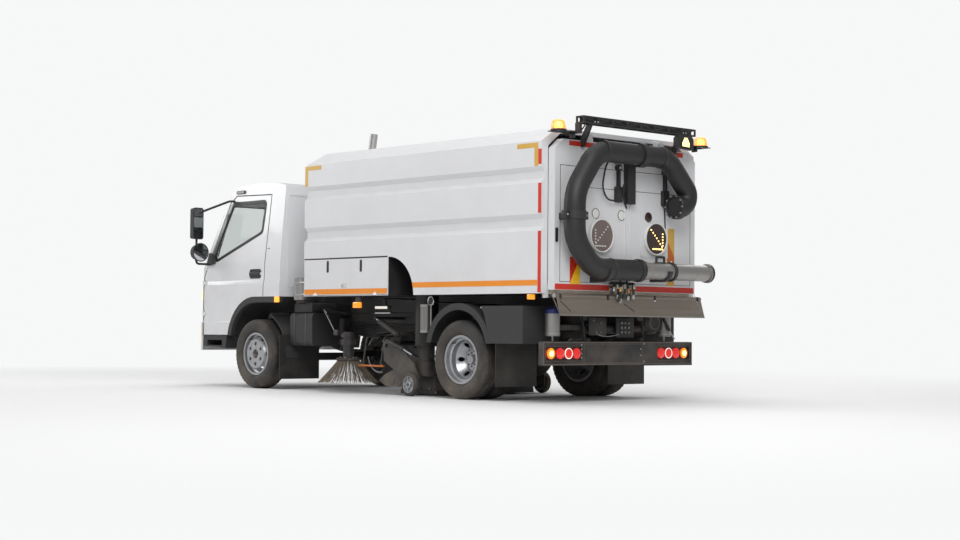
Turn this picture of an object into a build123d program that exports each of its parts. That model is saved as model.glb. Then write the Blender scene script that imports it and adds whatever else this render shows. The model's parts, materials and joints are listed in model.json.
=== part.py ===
from build123d import *
import math
import os

os.makedirs("parts", exist_ok=True)

# Overall layout in millimetres: X runs forward, Y to the left, Z up from the ground
wheelbase = 3460
front_overhang = 1190
rear_overhang = 1493
rear_x = (rear_overhang - front_overhang - wheelbase) / 2
front_x = rear_x + wheelbase

# Clearances: at pins, at seats on the same body, and between moving bodies
pin_gap = 0.3
seat_gap = 0.3
moving_gap = 6

# Tyres and rims
tyre_radius = 383.5
tyre_width = 215
rim_flange_radius = 237
bead_radius = 223
rim_half_width = 84
rim_well_radius = 203
rim_skin = 9
disc_skin = 12
front_wheel_y = 892
rear_wheel_y = 810
twin_half_spacing = 122
front_plate_radius = 162
rear_plate_radius = 125
front_plate_out = 88
hub_bore_radius = 52
hub_bore_depth = 18
hand_hole_radius = 23
hand_hole_circle = 160
cone_hole_start = 135
cone_hole_out = 50
nut_hole_radius = 20
nut_circle = 112
wheel_holes = 6
front_hub_radius = 68
rear_hub_radius = 82
hub_cap_share = 0.6
hub_cap_height = 26
hub_wall = 8

# Ladder frame
frame_half_width = 425
rail_height = 180
rail_flange = 65
rail_skin = 8
rail_top = 780
frame_rear = rear_x - 1060
frame_front = front_x + 1035
cross_radius = 45
cross_places = [rear_x - 1000, rear_x - 520, rear_x + 560, rear_x + 1560, rear_x + 2500, front_x + 900]

# Axles, springs and king pins
king_pin_y = 735
king_pin_radius = 18
king_eye_radius = 36
king_eye_half = 45
yoke_skin = 26
upright_y = 44
spindle_radius = 30
spindle_end = 60
beam_half = 36
leaf_width = 70
leaf_thickness = 26
leaf_y = 385
clamp_half = 60
clamp_skin = 16
saddle_rise = 10
front_spring_half = 560
rear_spring_half = 640
rear_stub_radius = 45
rear_tube_radius = 62
diff_radius = 165
pinion_length = 300

# Cab
cab_half_width = 985
cab_wall = 42
cab_top = 2300
cab_floor = 590
cab_nose_floor = 765
cab_rear = front_x - 430
cab_nose = front_x + 1140
cab_rear_floor = 1020
arch_x = front_x + 40
arch_z = 500
arch_radius = 520
tunnel_half_width = 480
tunnel_top = 850
tilt_x = cab_nose - 10
tilt_lug_radius = 28
tilt_plate_y = 436
tilt_z = 700
tilt_pin_radius = 20
lean_z = 1400
roof_half_width = 895
crease_z = 738
crease_in = 4
waist_z = 1160
waist_height = 44
waist_in = 14
waist_half = cab_half_width - waist_in
glass_thickness = 8
lamp_depth = 24
door_front_x = front_x + 1040
door_gap = 6
mirror_x = front_x + 875
mirror_reach = 265
mirror_out = cab_half_width + mirror_reach
mirror_tube = 13
mirror_root_x = front_x + 540
mirror_root_z = 2112
mirror_arm_z = 1975
mirror_head_width = 140
mirror_round_radius = 108
handle_x = front_x + 40
handle_z = 1275
handle_length = 240
handle_height = 108
handle_depth = 18
handle_bar = 26
grille_half = 560
grille_depth = 20
grille_slot = 22
grille_levels = [890, 930, 970, 1010, 1050]
screen_half_width = 850
screen_bottom = 1290
screen_top = 2070
hinge_bottoms = [800, 1150]
hinge_height = 66
hinge_lug = 14
hinge_radius = 11
hinge_pin_radius = 6

# Side tanks ahead of the lockers
tank_front = rear_x + 2960
tank_length = 400

# Filter box ahead of the rear wheel
filter_x = rear_x + 603
filter_y = 940
filter_bottom = 640
filter_height = 280
filter_width = 108
filter_depth = 78
filter_ribs = 5

# Hopper
hopper_rear = rear_x - 1143
hopper_front = rear_x + 2460
hopper_half_width = 1068
hopper_bottom = 1012
hopper_roof = 2545
roof_drop = 128
hopper_side_top = hopper_roof - roof_drop
hopper_roof_half = 870
hopper_wall = 43
hopper_floor = 1100
swage_depth = 40
swage_slope = 42
low_swage = hopper_bottom + 577
high_swage = hopper_side_top - 387
swages = [(low_swage, low_swage + 154), (high_swage, high_swage + 150)]
front_slope = 110
beam_half_width = 45
beam_y = 380
tip_x = rear_x - 1000
tip_z = 930
tip_pin_radius = 25
tip_lug_radius = 55
subframe_height = 60
locker_rear = rear_x + 1050
locker_depth = 420
locker_top = 1407
flap_skin = 28
flap_gap = 5
flap_pin_z = hopper_bottom + 2 * flap_gap
flap_pin_radius = 4
flap_knuckle_radius = 9
flap_knuckle = 38
flap_lug = 14
flap_hinges = [-500, 500]
hose_bay_radius = 390
hose_bay_depth = 640
pipe_x = rear_x + 2275
pipe_y = 300
pipe_rise = 95
pipe_bend_z = hopper_roof + pipe_rise
pipe_height = 255
pipe_top = hopper_roof + pipe_height
pipe_radius = 42

# Rear door and what it carries
door_half_width = 985
door_thickness = 82
door_bottom = 1045
roof_over_door = 105
door_top = hopper_roof - roof_over_door
door_shoulder = door_top - 90
door_inner = hopper_rear - moving_gap
door_face = door_inner - door_thickness
lift_x = hopper_rear - 45
lift_drop = 50
lift_z = hopper_roof - lift_drop
lift_pin_radius = 14
wander_radius = 100
wander_x = rear_x - rear_overhang + wander_radius
wander_drop = 100
wander_top = door_top - wander_drop
wander_left_y = 885
nozzle_radius = 80
inlet_y = -645
inlet_z = 1876
inlet_radius = 84
nozzle_z = 1245
bar_x = rear_x - 1355
bar_half_width = 790
bar_rise = 140
bar_bottom = door_top + bar_rise
bar_height = 70
bar_top = bar_bottom + bar_height
bar_depth = 100
beacon_x = rear_x - 1290
beacon_y = 1000
beacon_radius = 62
shelf_rise = 50
beacon_shelf_z = door_top + shelf_rise
bar_posts = 9
arrow_y = 382
arrow_z = 1565
arrow_radius = 160

# Tail chute
chute_x = rear_x - 1268
chute_z = 992
chute_half_width = 1010
chute_rod_radius = 14
chute_lugs = [-960, -330, 330, 960]
chute_reach = 55
chute_drop = 182
chute_skin = 5

# Bumpers and guards
bumper_bottom = 410
bumper_top = 728
bumper_skin = 12
guard_radius = 470
guard_skin = 10
guard_width = 500
guard_lip = 66
guard_lip_skin = 8
flap_bottom = 135
flap_width = 540
flap_skin_rubber = 8
front_flap_x = front_x - 485
front_flap_y = 730
front_flap_bottom = 115
front_flap_top = 600
rear_bumper_half = 1040

# Pick-up head and side brushes
head_x = rear_x + 1010
head_half_width = 690
head_pivot_x = rear_x + 1700
head_pivot_z = 520
head_arm_y = 520
head_pin_radius = 24
swing_pin_radius = 26
castor_x = rear_x + 851
castor_y = 930
castor_radius = 118
castor_width = 60
hose_radius = 122
hose_bore = 108
hose_y = 715
hose_x = rear_x + 850
hose_bottom = 500
hose_top = 1230
neck_radius = 84
hose_ribs = 20
hose_rib_pitch = 36
brush_x = rear_x + 1980
brush_y = 830
brush_foot_radius = 332
brush_bottom = 100
brush_plate_z = 335
brush_plate_radius = 130
brush_motor_radius = 58
brush_motor_height = 80
tuft_count = 26
tuft_circle = 108
tuft_radius = 11
tuft_spread = 3.9
tuft_foot = 44
tuft_root = 9
swing_x = rear_x + 2480
swing_y = 520
swing_z = 500


def save(piece, name):
    """Names one finished piece and writes it."""
    piece.part.label = name
    export_step(piece.part, f"parts/{name}.step")


def section_plane(sign, x, y):
    """Plane through a wheel's centre line: its X points outboard, its Y up."""
    return Plane(origin=(x, sign * y, tyre_radius), x_dir=(0, sign, 0), z_dir=(sign, 0, 0))


def face_plane(sign, x, y, z=tyre_radius):
    """Plane square to a wheel's spindle, facing outboard."""
    return Plane(origin=(x, sign * y, z), x_dir=(1, 0, 0), z_dir=(0, sign, 0))


def spin_axis(sign, x, y):
    return Axis((x, sign * y, tyre_radius), (0, sign, 0))


def outline(points):
    """A face inside straight runs through the points."""
    Polygon(*points, align=None)


def both_ways(points):
    """Half an outline, closed by its mirror image in the second column."""
    return points + [(-a, b) for a, b in reversed(points)]


def round_bar(plane, centre, radius, length):
    """A round bar that starts on the plane."""
    with BuildPart(mode=Mode.PRIVATE) as bar:
        with BuildSketch(plane):
            with Locations(centre):
                Circle(radius)
        extrude(amount=length)
    return bar.part


def hinge_leaf(plane, centre, radius, points, length):
    """A hinge knuckle with its leaf, whose points are measured from the pin."""
    with BuildPart(mode=Mode.PRIVATE) as leaf:
        with BuildSketch(plane):
            with Locations(centre):
                Circle(radius)
            outline([(centre[0] + a, centre[1] + b) for a, b in points])
        extrude(amount=length)
    return leaf.part


# Tyres and wheels: half sections as (axial, radial)
tyre_half = [
    (rim_half_width - rim_skin - seat_gap, bead_radius + seat_gap),
    (rim_half_width - rim_skin - seat_gap, rim_flange_radius + seat_gap),
    (tyre_width / 2 - 7, bead_radius + 35),
    (tyre_width / 2, bead_radius + 80),
    (tyre_width / 2 - 5, tyre_radius - 40),
    (tyre_width / 2 - 24, tyre_radius - 6),
    (tyre_width / 2 - 36, tyre_radius),
]
barrel_half = [
    (rim_half_width, rim_flange_radius),
    (rim_half_width - rim_skin, rim_flange_radius),
    (rim_half_width - rim_skin, bead_radius),
    (rim_half_width / 2, bead_radius - 2),
    (rim_half_width / 2 - 10, rim_well_radius),
]
barrel_inner = [
    (rim_half_width / 2 - 12, rim_well_radius - rim_skin),
    (rim_half_width / 2, bead_radius - rim_skin - 4),
    (rim_half_width, bead_radius - rim_skin),
]


def shifted(points, offset):
    return [(a + offset, r) for a, r in points]


def barrel_section(offset):
    """The rolled rim: two flanges, two bead seats and the well."""
    loop = both_ways(barrel_half) + [(-a, r) for a, r in reversed(barrel_inner)] + barrel_inner
    outline(shifted(loop, offset))


def disc_section(plate_in, plate_out, end_in, end_out, bore, plate_radius):
    """A pressed disc from the hub plate out to the well of the rim."""
    well = rim_well_radius - rim_skin + 1
    outline([
        (plate_in, bore),
        (plate_out, bore),
        (plate_out, plate_radius),
        (end_out, well),
        (end_in, well),
        (plate_in, plate_radius - disc_skin),
    ])


def sunk_hub_section(start, end, radius, bore):
    """A hub drum closed by a cap that lies below the end of the drum."""
    cap = end - hub_bore_depth
    outline([(start, bore), (start, radius), (end, radius), (end, hub_bore_radius), (cap, hub_bore_radius - 4),
             (cap, 0), (cap - hub_wall, 0), (cap - hub_wall, bore)])


def hub_section(start, end, radius, bore):
    """A hub drum whose bore ends behind a stepped cap."""
    cap = end + hub_cap_height
    cap_radius = radius * hub_cap_share
    outline([(start, bore), (start, radius), (end, radius), (end, cap_radius), (cap, cap_radius - 6), (cap, 0),
             (end, 0), (end, bore)])


for side, sign in (("left", 1), ("right", -1)):
    front_section = section_plane(sign, front_x, front_wheel_y)
    rear_section = section_plane(sign, rear_x, rear_wheel_y)
    front_spin = spin_axis(sign, front_x, front_wheel_y)
    rear_spin = spin_axis(sign, rear_x, rear_wheel_y)

    with BuildPart() as front_tyre:
        with BuildSketch(front_section):
            outline(both_ways(tyre_half))
        revolve(axis=front_spin)
    save(front_tyre, f"front_tyre_{side}")

    with BuildPart() as rear_tyres:
        with BuildSketch(rear_section):
            outline(shifted(both_ways(tyre_half), twin_half_spacing))
            outline(shifted(both_ways(tyre_half), -twin_half_spacing))
        revolve(axis=rear_spin)
    save(rear_tyres, f"rear_tyres_{side}")

    with BuildPart() as front_wheel:
        with BuildSketch(front_section):
            barrel_section(0)
            disc_section(front_plate_out - disc_skin, front_plate_out, 6, 20, hub_bore_radius, front_plate_radius)
            sunk_hub_section(-58, front_plate_out, front_hub_radius, spindle_radius + pin_gap)
        revolve(axis=front_spin)
        with BuildSketch(face_plane(sign, front_x, front_wheel_y + front_plate_out - disc_skin)):
            with PolarLocations(nut_circle, wheel_holes, start_angle=30):
                Circle(nut_hole_radius)
        extrude(amount=2 * disc_skin, mode=Mode.SUBTRACT)
        for number in range(wheel_holes):
            turn = 2 * math.pi * number / wheel_holes
            outward = (math.cos(turn), 0, math.sin(turn))
            start = (front_x + cone_hole_start * outward[0], sign * (front_wheel_y + cone_hole_out),
                     tyre_radius + cone_hole_start * outward[2])
            with BuildSketch(Plane(origin=start, z_dir=outward)):
                Circle(hand_hole_radius)
            extrude(amount=rim_well_radius - rim_skin - cone_hole_start - 2, mode=Mode.SUBTRACT)
    save(front_wheel, f"front_wheel_{side}")

    with BuildPart() as rear_wheels:
        with BuildSketch(rear_section):
            barrel_section(twin_half_spacing)
            barrel_section(-twin_half_spacing)
            disc_section(-disc_skin, disc_skin, 82, 98, rear_stub_radius + pin_gap, rear_plate_radius)
            disc_section(disc_skin, -disc_skin, -82, -98, rear_stub_radius + pin_gap, rear_plate_radius)
            hub_section(-118, 60, rear_hub_radius, rear_stub_radius + pin_gap)
        revolve(axis=rear_spin)
        with BuildSketch(face_plane(sign, rear_x, rear_wheel_y)):
            with PolarLocations(hand_hole_circle, wheel_holes):
                Circle(hand_hole_radius)
        extrude(amount=tyre_width, both=True, mode=Mode.SUBTRACT)
    save(rear_wheels, f"rear_wheels_{side}")

    # Steering knuckle: yoke, king pin and spindle in one forging
    with BuildPart() as knuckle:
        pin_plane = Plane.XY.offset(tyre_radius)
        arm = king_eye_half + moving_gap
        with BuildSketch(pin_plane.offset(-arm - yoke_skin)):
            with Locations((front_x, sign * king_pin_y)):
                Circle(king_pin_radius)
        extrude(amount=2 * (arm + yoke_skin))
        for level in (arm, -arm - yoke_skin):
            with BuildSketch(pin_plane.offset(level)):
                with Locations((front_x, sign * king_pin_y)):
                    Circle(king_eye_radius)
                with Locations((front_x, sign * (king_pin_y + upright_y / 2 + 6))):
                    Rectangle(2 * king_eye_radius, upright_y + 12)
            extrude(amount=yoke_skin)
        with BuildSketch(face_plane(sign, front_x, king_pin_y + upright_y)):
            Rectangle(2 * king_eye_radius, 2 * (arm + yoke_skin))
        extrude(amount=20)
        with BuildSketch(face_plane(sign, front_x, king_pin_y + upright_y)):
            Circle(spindle_radius)
        extrude(amount=front_wheel_y + spindle_end - king_pin_y - upright_y)
    save(knuckle, f"knuckle_{side}")


def leaf_spring(x, y, half_length, seat_z):
    """A leaf pack bowed down to its seat, hung from both ends by shackles under the rail."""
    eye_z = rail_top - rail_height - 45
    with BuildPart(mode=Mode.PRIVATE) as spring:
        with BuildSketch(Plane.XZ.offset(-y)):
            with BuildLine():
                lower = ThreePointArc((x - half_length, eye_z), (x, seat_z), (x + half_length, eye_z))
                upper = ThreePointArc(
                    (x - half_length, eye_z + leaf_thickness),
                    (x, seat_z + leaf_thickness),
                    (x + half_length, eye_z + leaf_thickness),
                )
                Line(lower @ 0, upper @ 0)
                Line(lower @ 1, upper @ 1)
            make_face()
            for end in (-half_length, half_length):
                with Locations((x + end, eye_z + leaf_thickness / 2)):
                    Circle(24)
                with Locations((x + end, eye_z + 30)):
                    Rectangle(36, 2 * (15 - seat_gap))
        extrude(amount=leaf_width / 2, both=True)
        with BuildSketch(Plane.XY.offset(seat_z + leaf_thickness / 2)):
            with Locations((x, y)):
                Rectangle(2 * clamp_half, leaf_width + 20)
        extrude(amount=leaf_thickness / 2 + clamp_skin)
    return spring.part


front_seat_z = tyre_radius + saddle_rise + 2
rear_seat_z = tyre_radius + rear_tube_radius + saddle_rise
with BuildPart() as leaf_springs:
    for sign in (1, -1):
        add(leaf_spring(front_x, sign * leaf_y, front_spring_half, front_seat_z))
        add(leaf_spring(rear_x, sign * leaf_y, rear_spring_half, rear_seat_z))
save(leaf_springs, "leaf_springs")


def spring_saddle(x, y, seat_z):
    """The block that carries a spring on its axle."""
    with BuildPart(mode=Mode.PRIVATE) as saddle:
        with BuildSketch(Plane.XY.offset(tyre_radius)):
            with Locations((x, y)):
                Rectangle(2 * clamp_half, leaf_width + 20)
        extrude(amount=seat_z - seat_gap - tyre_radius)
    return saddle.part


# Front axle: dropped beam with king-pin eyes
with BuildPart() as front_axle:
    with BuildSketch(Plane.YZ.offset(front_x)):
        outline([
            (king_pin_y, tyre_radius + beam_half),
            (560, tyre_radius + beam_half),
            (460, tyre_radius + 10),
            (-460, tyre_radius + 10),
            (-560, tyre_radius + beam_half),
            (-king_pin_y, tyre_radius + beam_half),
            (-king_pin_y, tyre_radius - beam_half),
            (-600, tyre_radius - beam_half),
            (-480, tyre_radius - 75),
            (480, tyre_radius - 75),
            (600, tyre_radius - beam_half),
            (king_pin_y, tyre_radius - beam_half),
        ])
    extrude(amount=beam_half, both=True)
    for sign in (1, -1):
        with BuildSketch(Plane.XY.offset(tyre_radius - king_eye_half)):
            with Locations((front_x, sign * king_pin_y)):
                Circle(king_eye_radius)
        extrude(amount=2 * king_eye_half)
        add(spring_saddle(front_x, sign * leaf_y, front_seat_z))
    for sign in (1, -1):
        with BuildSketch(Plane.XY.offset(tyre_radius - 2 * king_eye_half)):
            with Locations((front_x, sign * king_pin_y)):
                Circle(king_pin_radius + pin_gap)
        extrude(amount=4 * king_eye_half, mode=Mode.SUBTRACT)
save(front_axle, "front_axle")

# Rear axle: banjo housing and stub shafts
with BuildPart() as rear_axle:
    with BuildSketch(face_plane(1, rear_x, -rear_wheel_y + 130)):
        Circle(rear_tube_radius)
    extrude(amount=2 * (rear_wheel_y - 130))
    with BuildSketch(face_plane(1, rear_x, -rear_wheel_y - 55)):
        Circle(rear_stub_radius)
    extrude(amount=2 * (rear_wheel_y + 55))
    with Locations((rear_x, 0, tyre_radius)):
        Sphere(diff_radius)
    with BuildSketch(Plane.YZ.offset(rear_x)):
        with Locations((0, tyre_radius)):
            Circle(70)
    extrude(amount=pinion_length)
    for sign in (1, -1):
        add(spring_saddle(rear_x, sign * leaf_y, rear_seat_z))
save(rear_axle, "rear_axle")

# Cross members: tubes between the rails, and the shaft that carries the pick-up head
with BuildPart() as cross_members:
    for place in cross_places:
        with BuildSketch(Plane.XZ.offset(rail_skin - frame_half_width)):
            with Locations((place, rail_top - rail_height / 2)):
                Circle(cross_radius)
        extrude(amount=2 * (frame_half_width - rail_skin))
    with BuildSketch(Plane.XZ.offset(-head_arm_y - 45)):
        with Locations((head_pivot_x, head_pivot_z)):
            Circle(head_pin_radius)
    extrude(amount=2 * head_arm_y + 90)
save(cross_members, "cross_members")

# Ladder frame: two channel rails with the sub-frame, hangers, brush posts and tipping lugs
with BuildPart() as chassis_frame:
    for sign in (1, -1):
        with BuildSketch(Plane.YZ.offset(frame_rear)):
            outline([
                (sign * frame_half_width, rail_top),
                (sign * (frame_half_width - rail_flange), rail_top),
                (sign * (frame_half_width - rail_flange), rail_top - rail_skin),
                (sign * (frame_half_width - rail_skin), rail_top - rail_skin),
                (sign * (frame_half_width - rail_skin), rail_top - rail_height + rail_skin),
                (sign * (frame_half_width - rail_flange), rail_top - rail_height + rail_skin),
                (sign * (frame_half_width - rail_flange), rail_top - rail_height),
                (sign * frame_half_width, rail_top - rail_height),
            ])
        extrude(amount=frame_front - frame_rear)
        with BuildSketch(Plane.XY.offset(rail_top)):
            with Locations(((hopper_front + frame_rear) / 2, sign * beam_y)):
                Rectangle(hopper_front - frame_rear, 2 * beam_half_width)
        extrude(amount=subframe_height)
    for sign in (1, -1):
        with BuildSketch(Plane.XZ.offset(-sign * (frame_half_width - 12))):
            outline([(head_pivot_x - 110, rail_top - rail_height + 4), (head_pivot_x + 110, rail_top - rail_height + 4),
                     (head_pivot_x + 45, head_pivot_z - 40), (head_pivot_x - 45, head_pivot_z - 40)])
            with Locations((head_pivot_x, head_pivot_z)):
                Circle(head_pin_radius + seat_gap, mode=Mode.SUBTRACT)
        extrude(amount=12, both=True)
        with BuildSketch(Plane.XY.offset(swing_z - 45)):
            with Locations((swing_x, sign * swing_y)):
                Circle(swing_pin_radius)
        extrude(amount=rail_top - swing_z)
        with BuildSketch(Plane.XY.offset(swing_z + 90)):
            with Locations((swing_x, sign * swing_y)):
                Circle(45)
            with Locations((swing_x, sign * (frame_half_width + swing_y) / 2)):
                Rectangle(90, swing_y - frame_half_width + 4)
        extrude(amount=rail_top - swing_z - 90)
        with BuildSketch(Plane.XZ.offset(-sign * beam_y)):
            with Locations((tip_x, tip_z)):
                Circle(tip_lug_radius)
            with Locations((tip_x, (tip_z + rail_top) / 2)):
                Rectangle(2 * tip_lug_radius, tip_z - rail_top)
            with Locations((tip_x, tip_z)):
                Circle(tip_pin_radius + pin_gap, mode=Mode.SUBTRACT)
        extrude(amount=beam_half_width - 15, both=True)
        with BuildSketch(Plane.XZ.offset(-sign * (frame_half_width - rail_skin / 2))):
            outline([(frame_front - 90, rail_top), (tilt_x - 30, tilt_z + 30), (tilt_x - 30, tilt_z - 30),
                     (frame_front - 90, rail_top - rail_height)])
            with Locations((tilt_x, tilt_z)):
                Circle(tilt_lug_radius + 2)
            with Locations((tilt_x - 15, tilt_z)):
                Rectangle(30, 2 * tilt_lug_radius + 4)
            with Locations((tilt_x, tilt_z)):
                Circle(tilt_pin_radius + pin_gap, mode=Mode.SUBTRACT)
        extrude(amount=rail_skin / 2, both=True)
save(chassis_frame, "chassis_frame")


def cab_form(skin, ends):
    """The cab's closed form, its sides set in by skin and its other faces by ends."""
    with BuildPart(mode=Mode.PRIVATE) as form:
        with BuildSketch(Plane.XZ):
            with BuildLine():
                Polyline(
                    (cab_rear, cab_top - 50),
                    (cab_rear, cab_rear_floor),
                    (arch_x, cab_rear_floor),
                )
                arch_end = arch_x + math.sqrt(arch_radius**2 - (cab_floor - arch_z) ** 2)
                middle = math.radians(50)
                ThreePointArc(
                    (arch_x, cab_rear_floor),
                    (arch_x + arch_radius * math.cos(middle), arch_z + arch_radius * math.sin(middle)),
                    (arch_end, cab_floor),
                )
                Polyline(
                    (arch_end, cab_floor),
                    (door_front_x + door_gap, cab_floor),
                    (door_front_x + door_gap, cab_nose_floor),
                    (cab_nose, cab_nose_floor),
                    (cab_nose + 20, 1150),
                    (cab_nose - 20, 1240),
                    (front_x + 670, 2120),
                )
                ThreePointArc((front_x + 670, 2120), (front_x + 545, 2232), (front_x + 260, cab_top - 14))
                ThreePointArc((front_x + 260, cab_top - 14), (front_x - 80, cab_top), (cab_rear, cab_top - 50))
            make_face()
            if ends:
                offset(amount=-ends, mode=Mode.REPLACE)
        extrude(amount=cab_half_width, both=True)
        with BuildSketch(Plane.XY):
            with BuildLine():
                corner_in = cab_nose - 130
                Polyline((corner_in, cab_half_width), (cab_rear, cab_half_width), (cab_rear, -cab_half_width),
                         (corner_in, -cab_half_width))
                ThreePointArc((corner_in, -cab_half_width), (cab_nose - 30, -930), (cab_nose, -800))
                ThreePointArc((cab_nose, -800), (cab_nose + 24, 0), (cab_nose, 800))
                ThreePointArc((cab_nose, 800), (cab_nose - 30, 930), (corner_in, cab_half_width))
            make_face()
            if ends:
                offset(amount=-ends, mode=Mode.REPLACE)
        extrude(amount=2 * cab_top, mode=Mode.INTERSECT)
        with BuildSketch(Plane.YZ.offset(cab_rear - 100)):
            outline(both_ways([
                (cab_half_width - skin, 0),
                (cab_half_width - skin, crease_z),
                (cab_half_width - crease_in - skin, crease_z + 12),
                (cab_half_width - crease_in - skin, waist_z),
                (waist_half - skin, waist_z + waist_height),
                (waist_half - skin, lean_z),
                (roof_half_width - skin, cab_top + 1),
            ]))
        extrude(amount=3000, mode=Mode.INTERSECT)
        with BuildSketch(Plane.XY.offset(tunnel_top + ends)):
            tunnel_end = door_front_x + door_gap + 10 + ends
            with Locations(((arch_x + tunnel_end) / 2, 0)):
                Rectangle(tunnel_end - arch_x, 2 * (tunnel_half_width + ends))
        extrude(amount=-tunnel_top, mode=Mode.SUBTRACT)
    return form.part


def prism(points, reach):
    """Side-view outline drawn through the whole width."""
    with BuildPart(mode=Mode.PRIVATE) as bar:
        with BuildSketch(Plane.XZ):
            outline(points)
        extrude(amount=reach, both=True)
    return bar.part


def grown(points, amount, reach):
    """The same prism, its outline moved out by amount."""
    with BuildPart(mode=Mode.PRIVATE) as bar:
        with BuildSketch(Plane.XZ):
            outline(points)
            offset(amount=amount, kind=Kind.INTERSECTION, mode=Mode.REPLACE)
        extrude(amount=reach, both=True)
    return bar.part


# Door and window outlines in the side view, from the hinge round by the sill
door_outline = [
    (door_front_x, cab_floor - 50),
    (door_front_x, 1250),
    (front_x + 950, 1420),
    (front_x + 610, 2090),
    (front_x + 500, 2165),
    (front_x - 170, 2150),
    (front_x - 120, cab_rear_floor + 20),
    (front_x - 118, cab_floor - 50),
]
door_window = [
    (front_x - 82, 2085),
    (front_x - 50, 1740),
    (front_x + 825, 1430),
    (front_x + 850, 1520),
    (front_x + 560, 2085),
]
screen = [(front_x + 450, screen_bottom), (front_x + 1300, screen_bottom), (front_x + 1300, screen_top),
          (front_x + 450, screen_top)]
rear_window = [(cab_rear - 100, 1620), (cab_rear + 100, 1620), (cab_rear + 100, 2040), (cab_rear - 100, 2040)]
rear_window_half = 520

# Leaves of the door hinges in plan, measured from the pin as (forward, outward)
pillar_leaf = [(0, 9), (0, -9), (14, -27), (44, -45), (44, -27), (14, -6)]
door_leaf = [(0, 9), (0, -9), (-14, -20), (-44, -20), (-44, 3), (-14, 6)]


def lamp_blocks(margin):
    """Headlamp outlines in the front view, drawn back to the hinge pillars."""
    with BuildPart(mode=Mode.PRIVATE) as blocks:
        for way in (1, -1):
            with BuildSketch(Plane.YZ.offset(front_x + 1062 - margin)):
                with Locations((way * 805, 1045)):
                    RectangleRounded(370 + 2 * margin, 150 + 2 * margin, 40)
            extrude(amount=200)
    return blocks.part


cab_outer = cab_form(0, 0)
cab_inner = cab_form(cab_wall, cab_wall)
cab_lining = cab_form(cab_wall, 0)
cab_side_skin = cab_outer - cab_lining
door_skin = cab_outer - cab_form(cab_wall - moving_gap, 0)
glass_skin = cab_form(10, 10) - cab_form(10 + glass_thickness, 10 + glass_thickness)

# Cab shell: hollow, open at the doors, the windscreen and the rear window
with BuildPart() as cab_shell:
    add(cab_outer)
    add(cab_inner, mode=Mode.SUBTRACT)
    add(grown(door_outline, door_gap, 2 * cab_half_width) & cab_side_skin, mode=Mode.SUBTRACT)
    add(prism(screen, screen_half_width), mode=Mode.SUBTRACT)
    add(prism(rear_window, rear_window_half), mode=Mode.SUBTRACT)
    add(lamp_blocks(seat_gap) & (cab_form(-10, -10) - cab_form(lamp_depth + seat_gap, lamp_depth + seat_gap)),
        mode=Mode.SUBTRACT)
    nose_skin = cab_outer - cab_form(grille_depth, grille_depth)
    for level in grille_levels:
        slot = [(front_x + 1100, level), (front_x + 1300, level), (front_x + 1300, level + grille_slot),
                (front_x + 1100, level + grille_slot)]
        add(nose_skin & prism(slot, grille_half), mode=Mode.SUBTRACT)
    for sign in (1, -1):
        with BuildSketch(Plane.XZ.offset(-sign * tilt_plate_y)):
            with Locations((tilt_x, tilt_z)):
                Circle(tilt_lug_radius)
            outline([(tilt_x - tilt_lug_radius, tilt_z), (tilt_x - tilt_lug_radius, cab_nose_floor + 5),
                     (tilt_x - 4, cab_nose_floor + 5), (tilt_x + 10, tilt_z + 30), (tilt_x + tilt_lug_radius, tilt_z)])
        extrude(amount=5, both=True)
        with BuildSketch(Plane.XZ.offset(-sign * tilt_plate_y)):
            with Locations((tilt_x, tilt_z)):
                Circle(tilt_pin_radius)
        extrude(amount=sign * 30)
        pin = (door_front_x, sign * cab_half_width)
        leaf = [(a, sign * b) for a, b in pillar_leaf]
        for bottom in hinge_bottoms:
            add(round_bar(Plane.XY.offset(bottom - moving_gap), pin, hinge_radius + moving_gap,
                          hinge_height + 2 * moving_gap), mode=Mode.SUBTRACT)
            add(round_bar(Plane.XY.offset(bottom), pin, hinge_pin_radius, hinge_height))
            for level in (bottom, bottom + hinge_height - hinge_lug):
                add(hinge_leaf(Plane.XY.offset(level), pin, hinge_radius, leaf, hinge_lug))
save(cab_shell, "cab_shell")

with BuildPart() as cab_glass:
    add(glass_skin & prism(screen, screen_half_width - seat_gap))
    add(glass_skin & prism(rear_window, rear_window_half - seat_gap))
save(cab_glass, "cab_glass")

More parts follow.
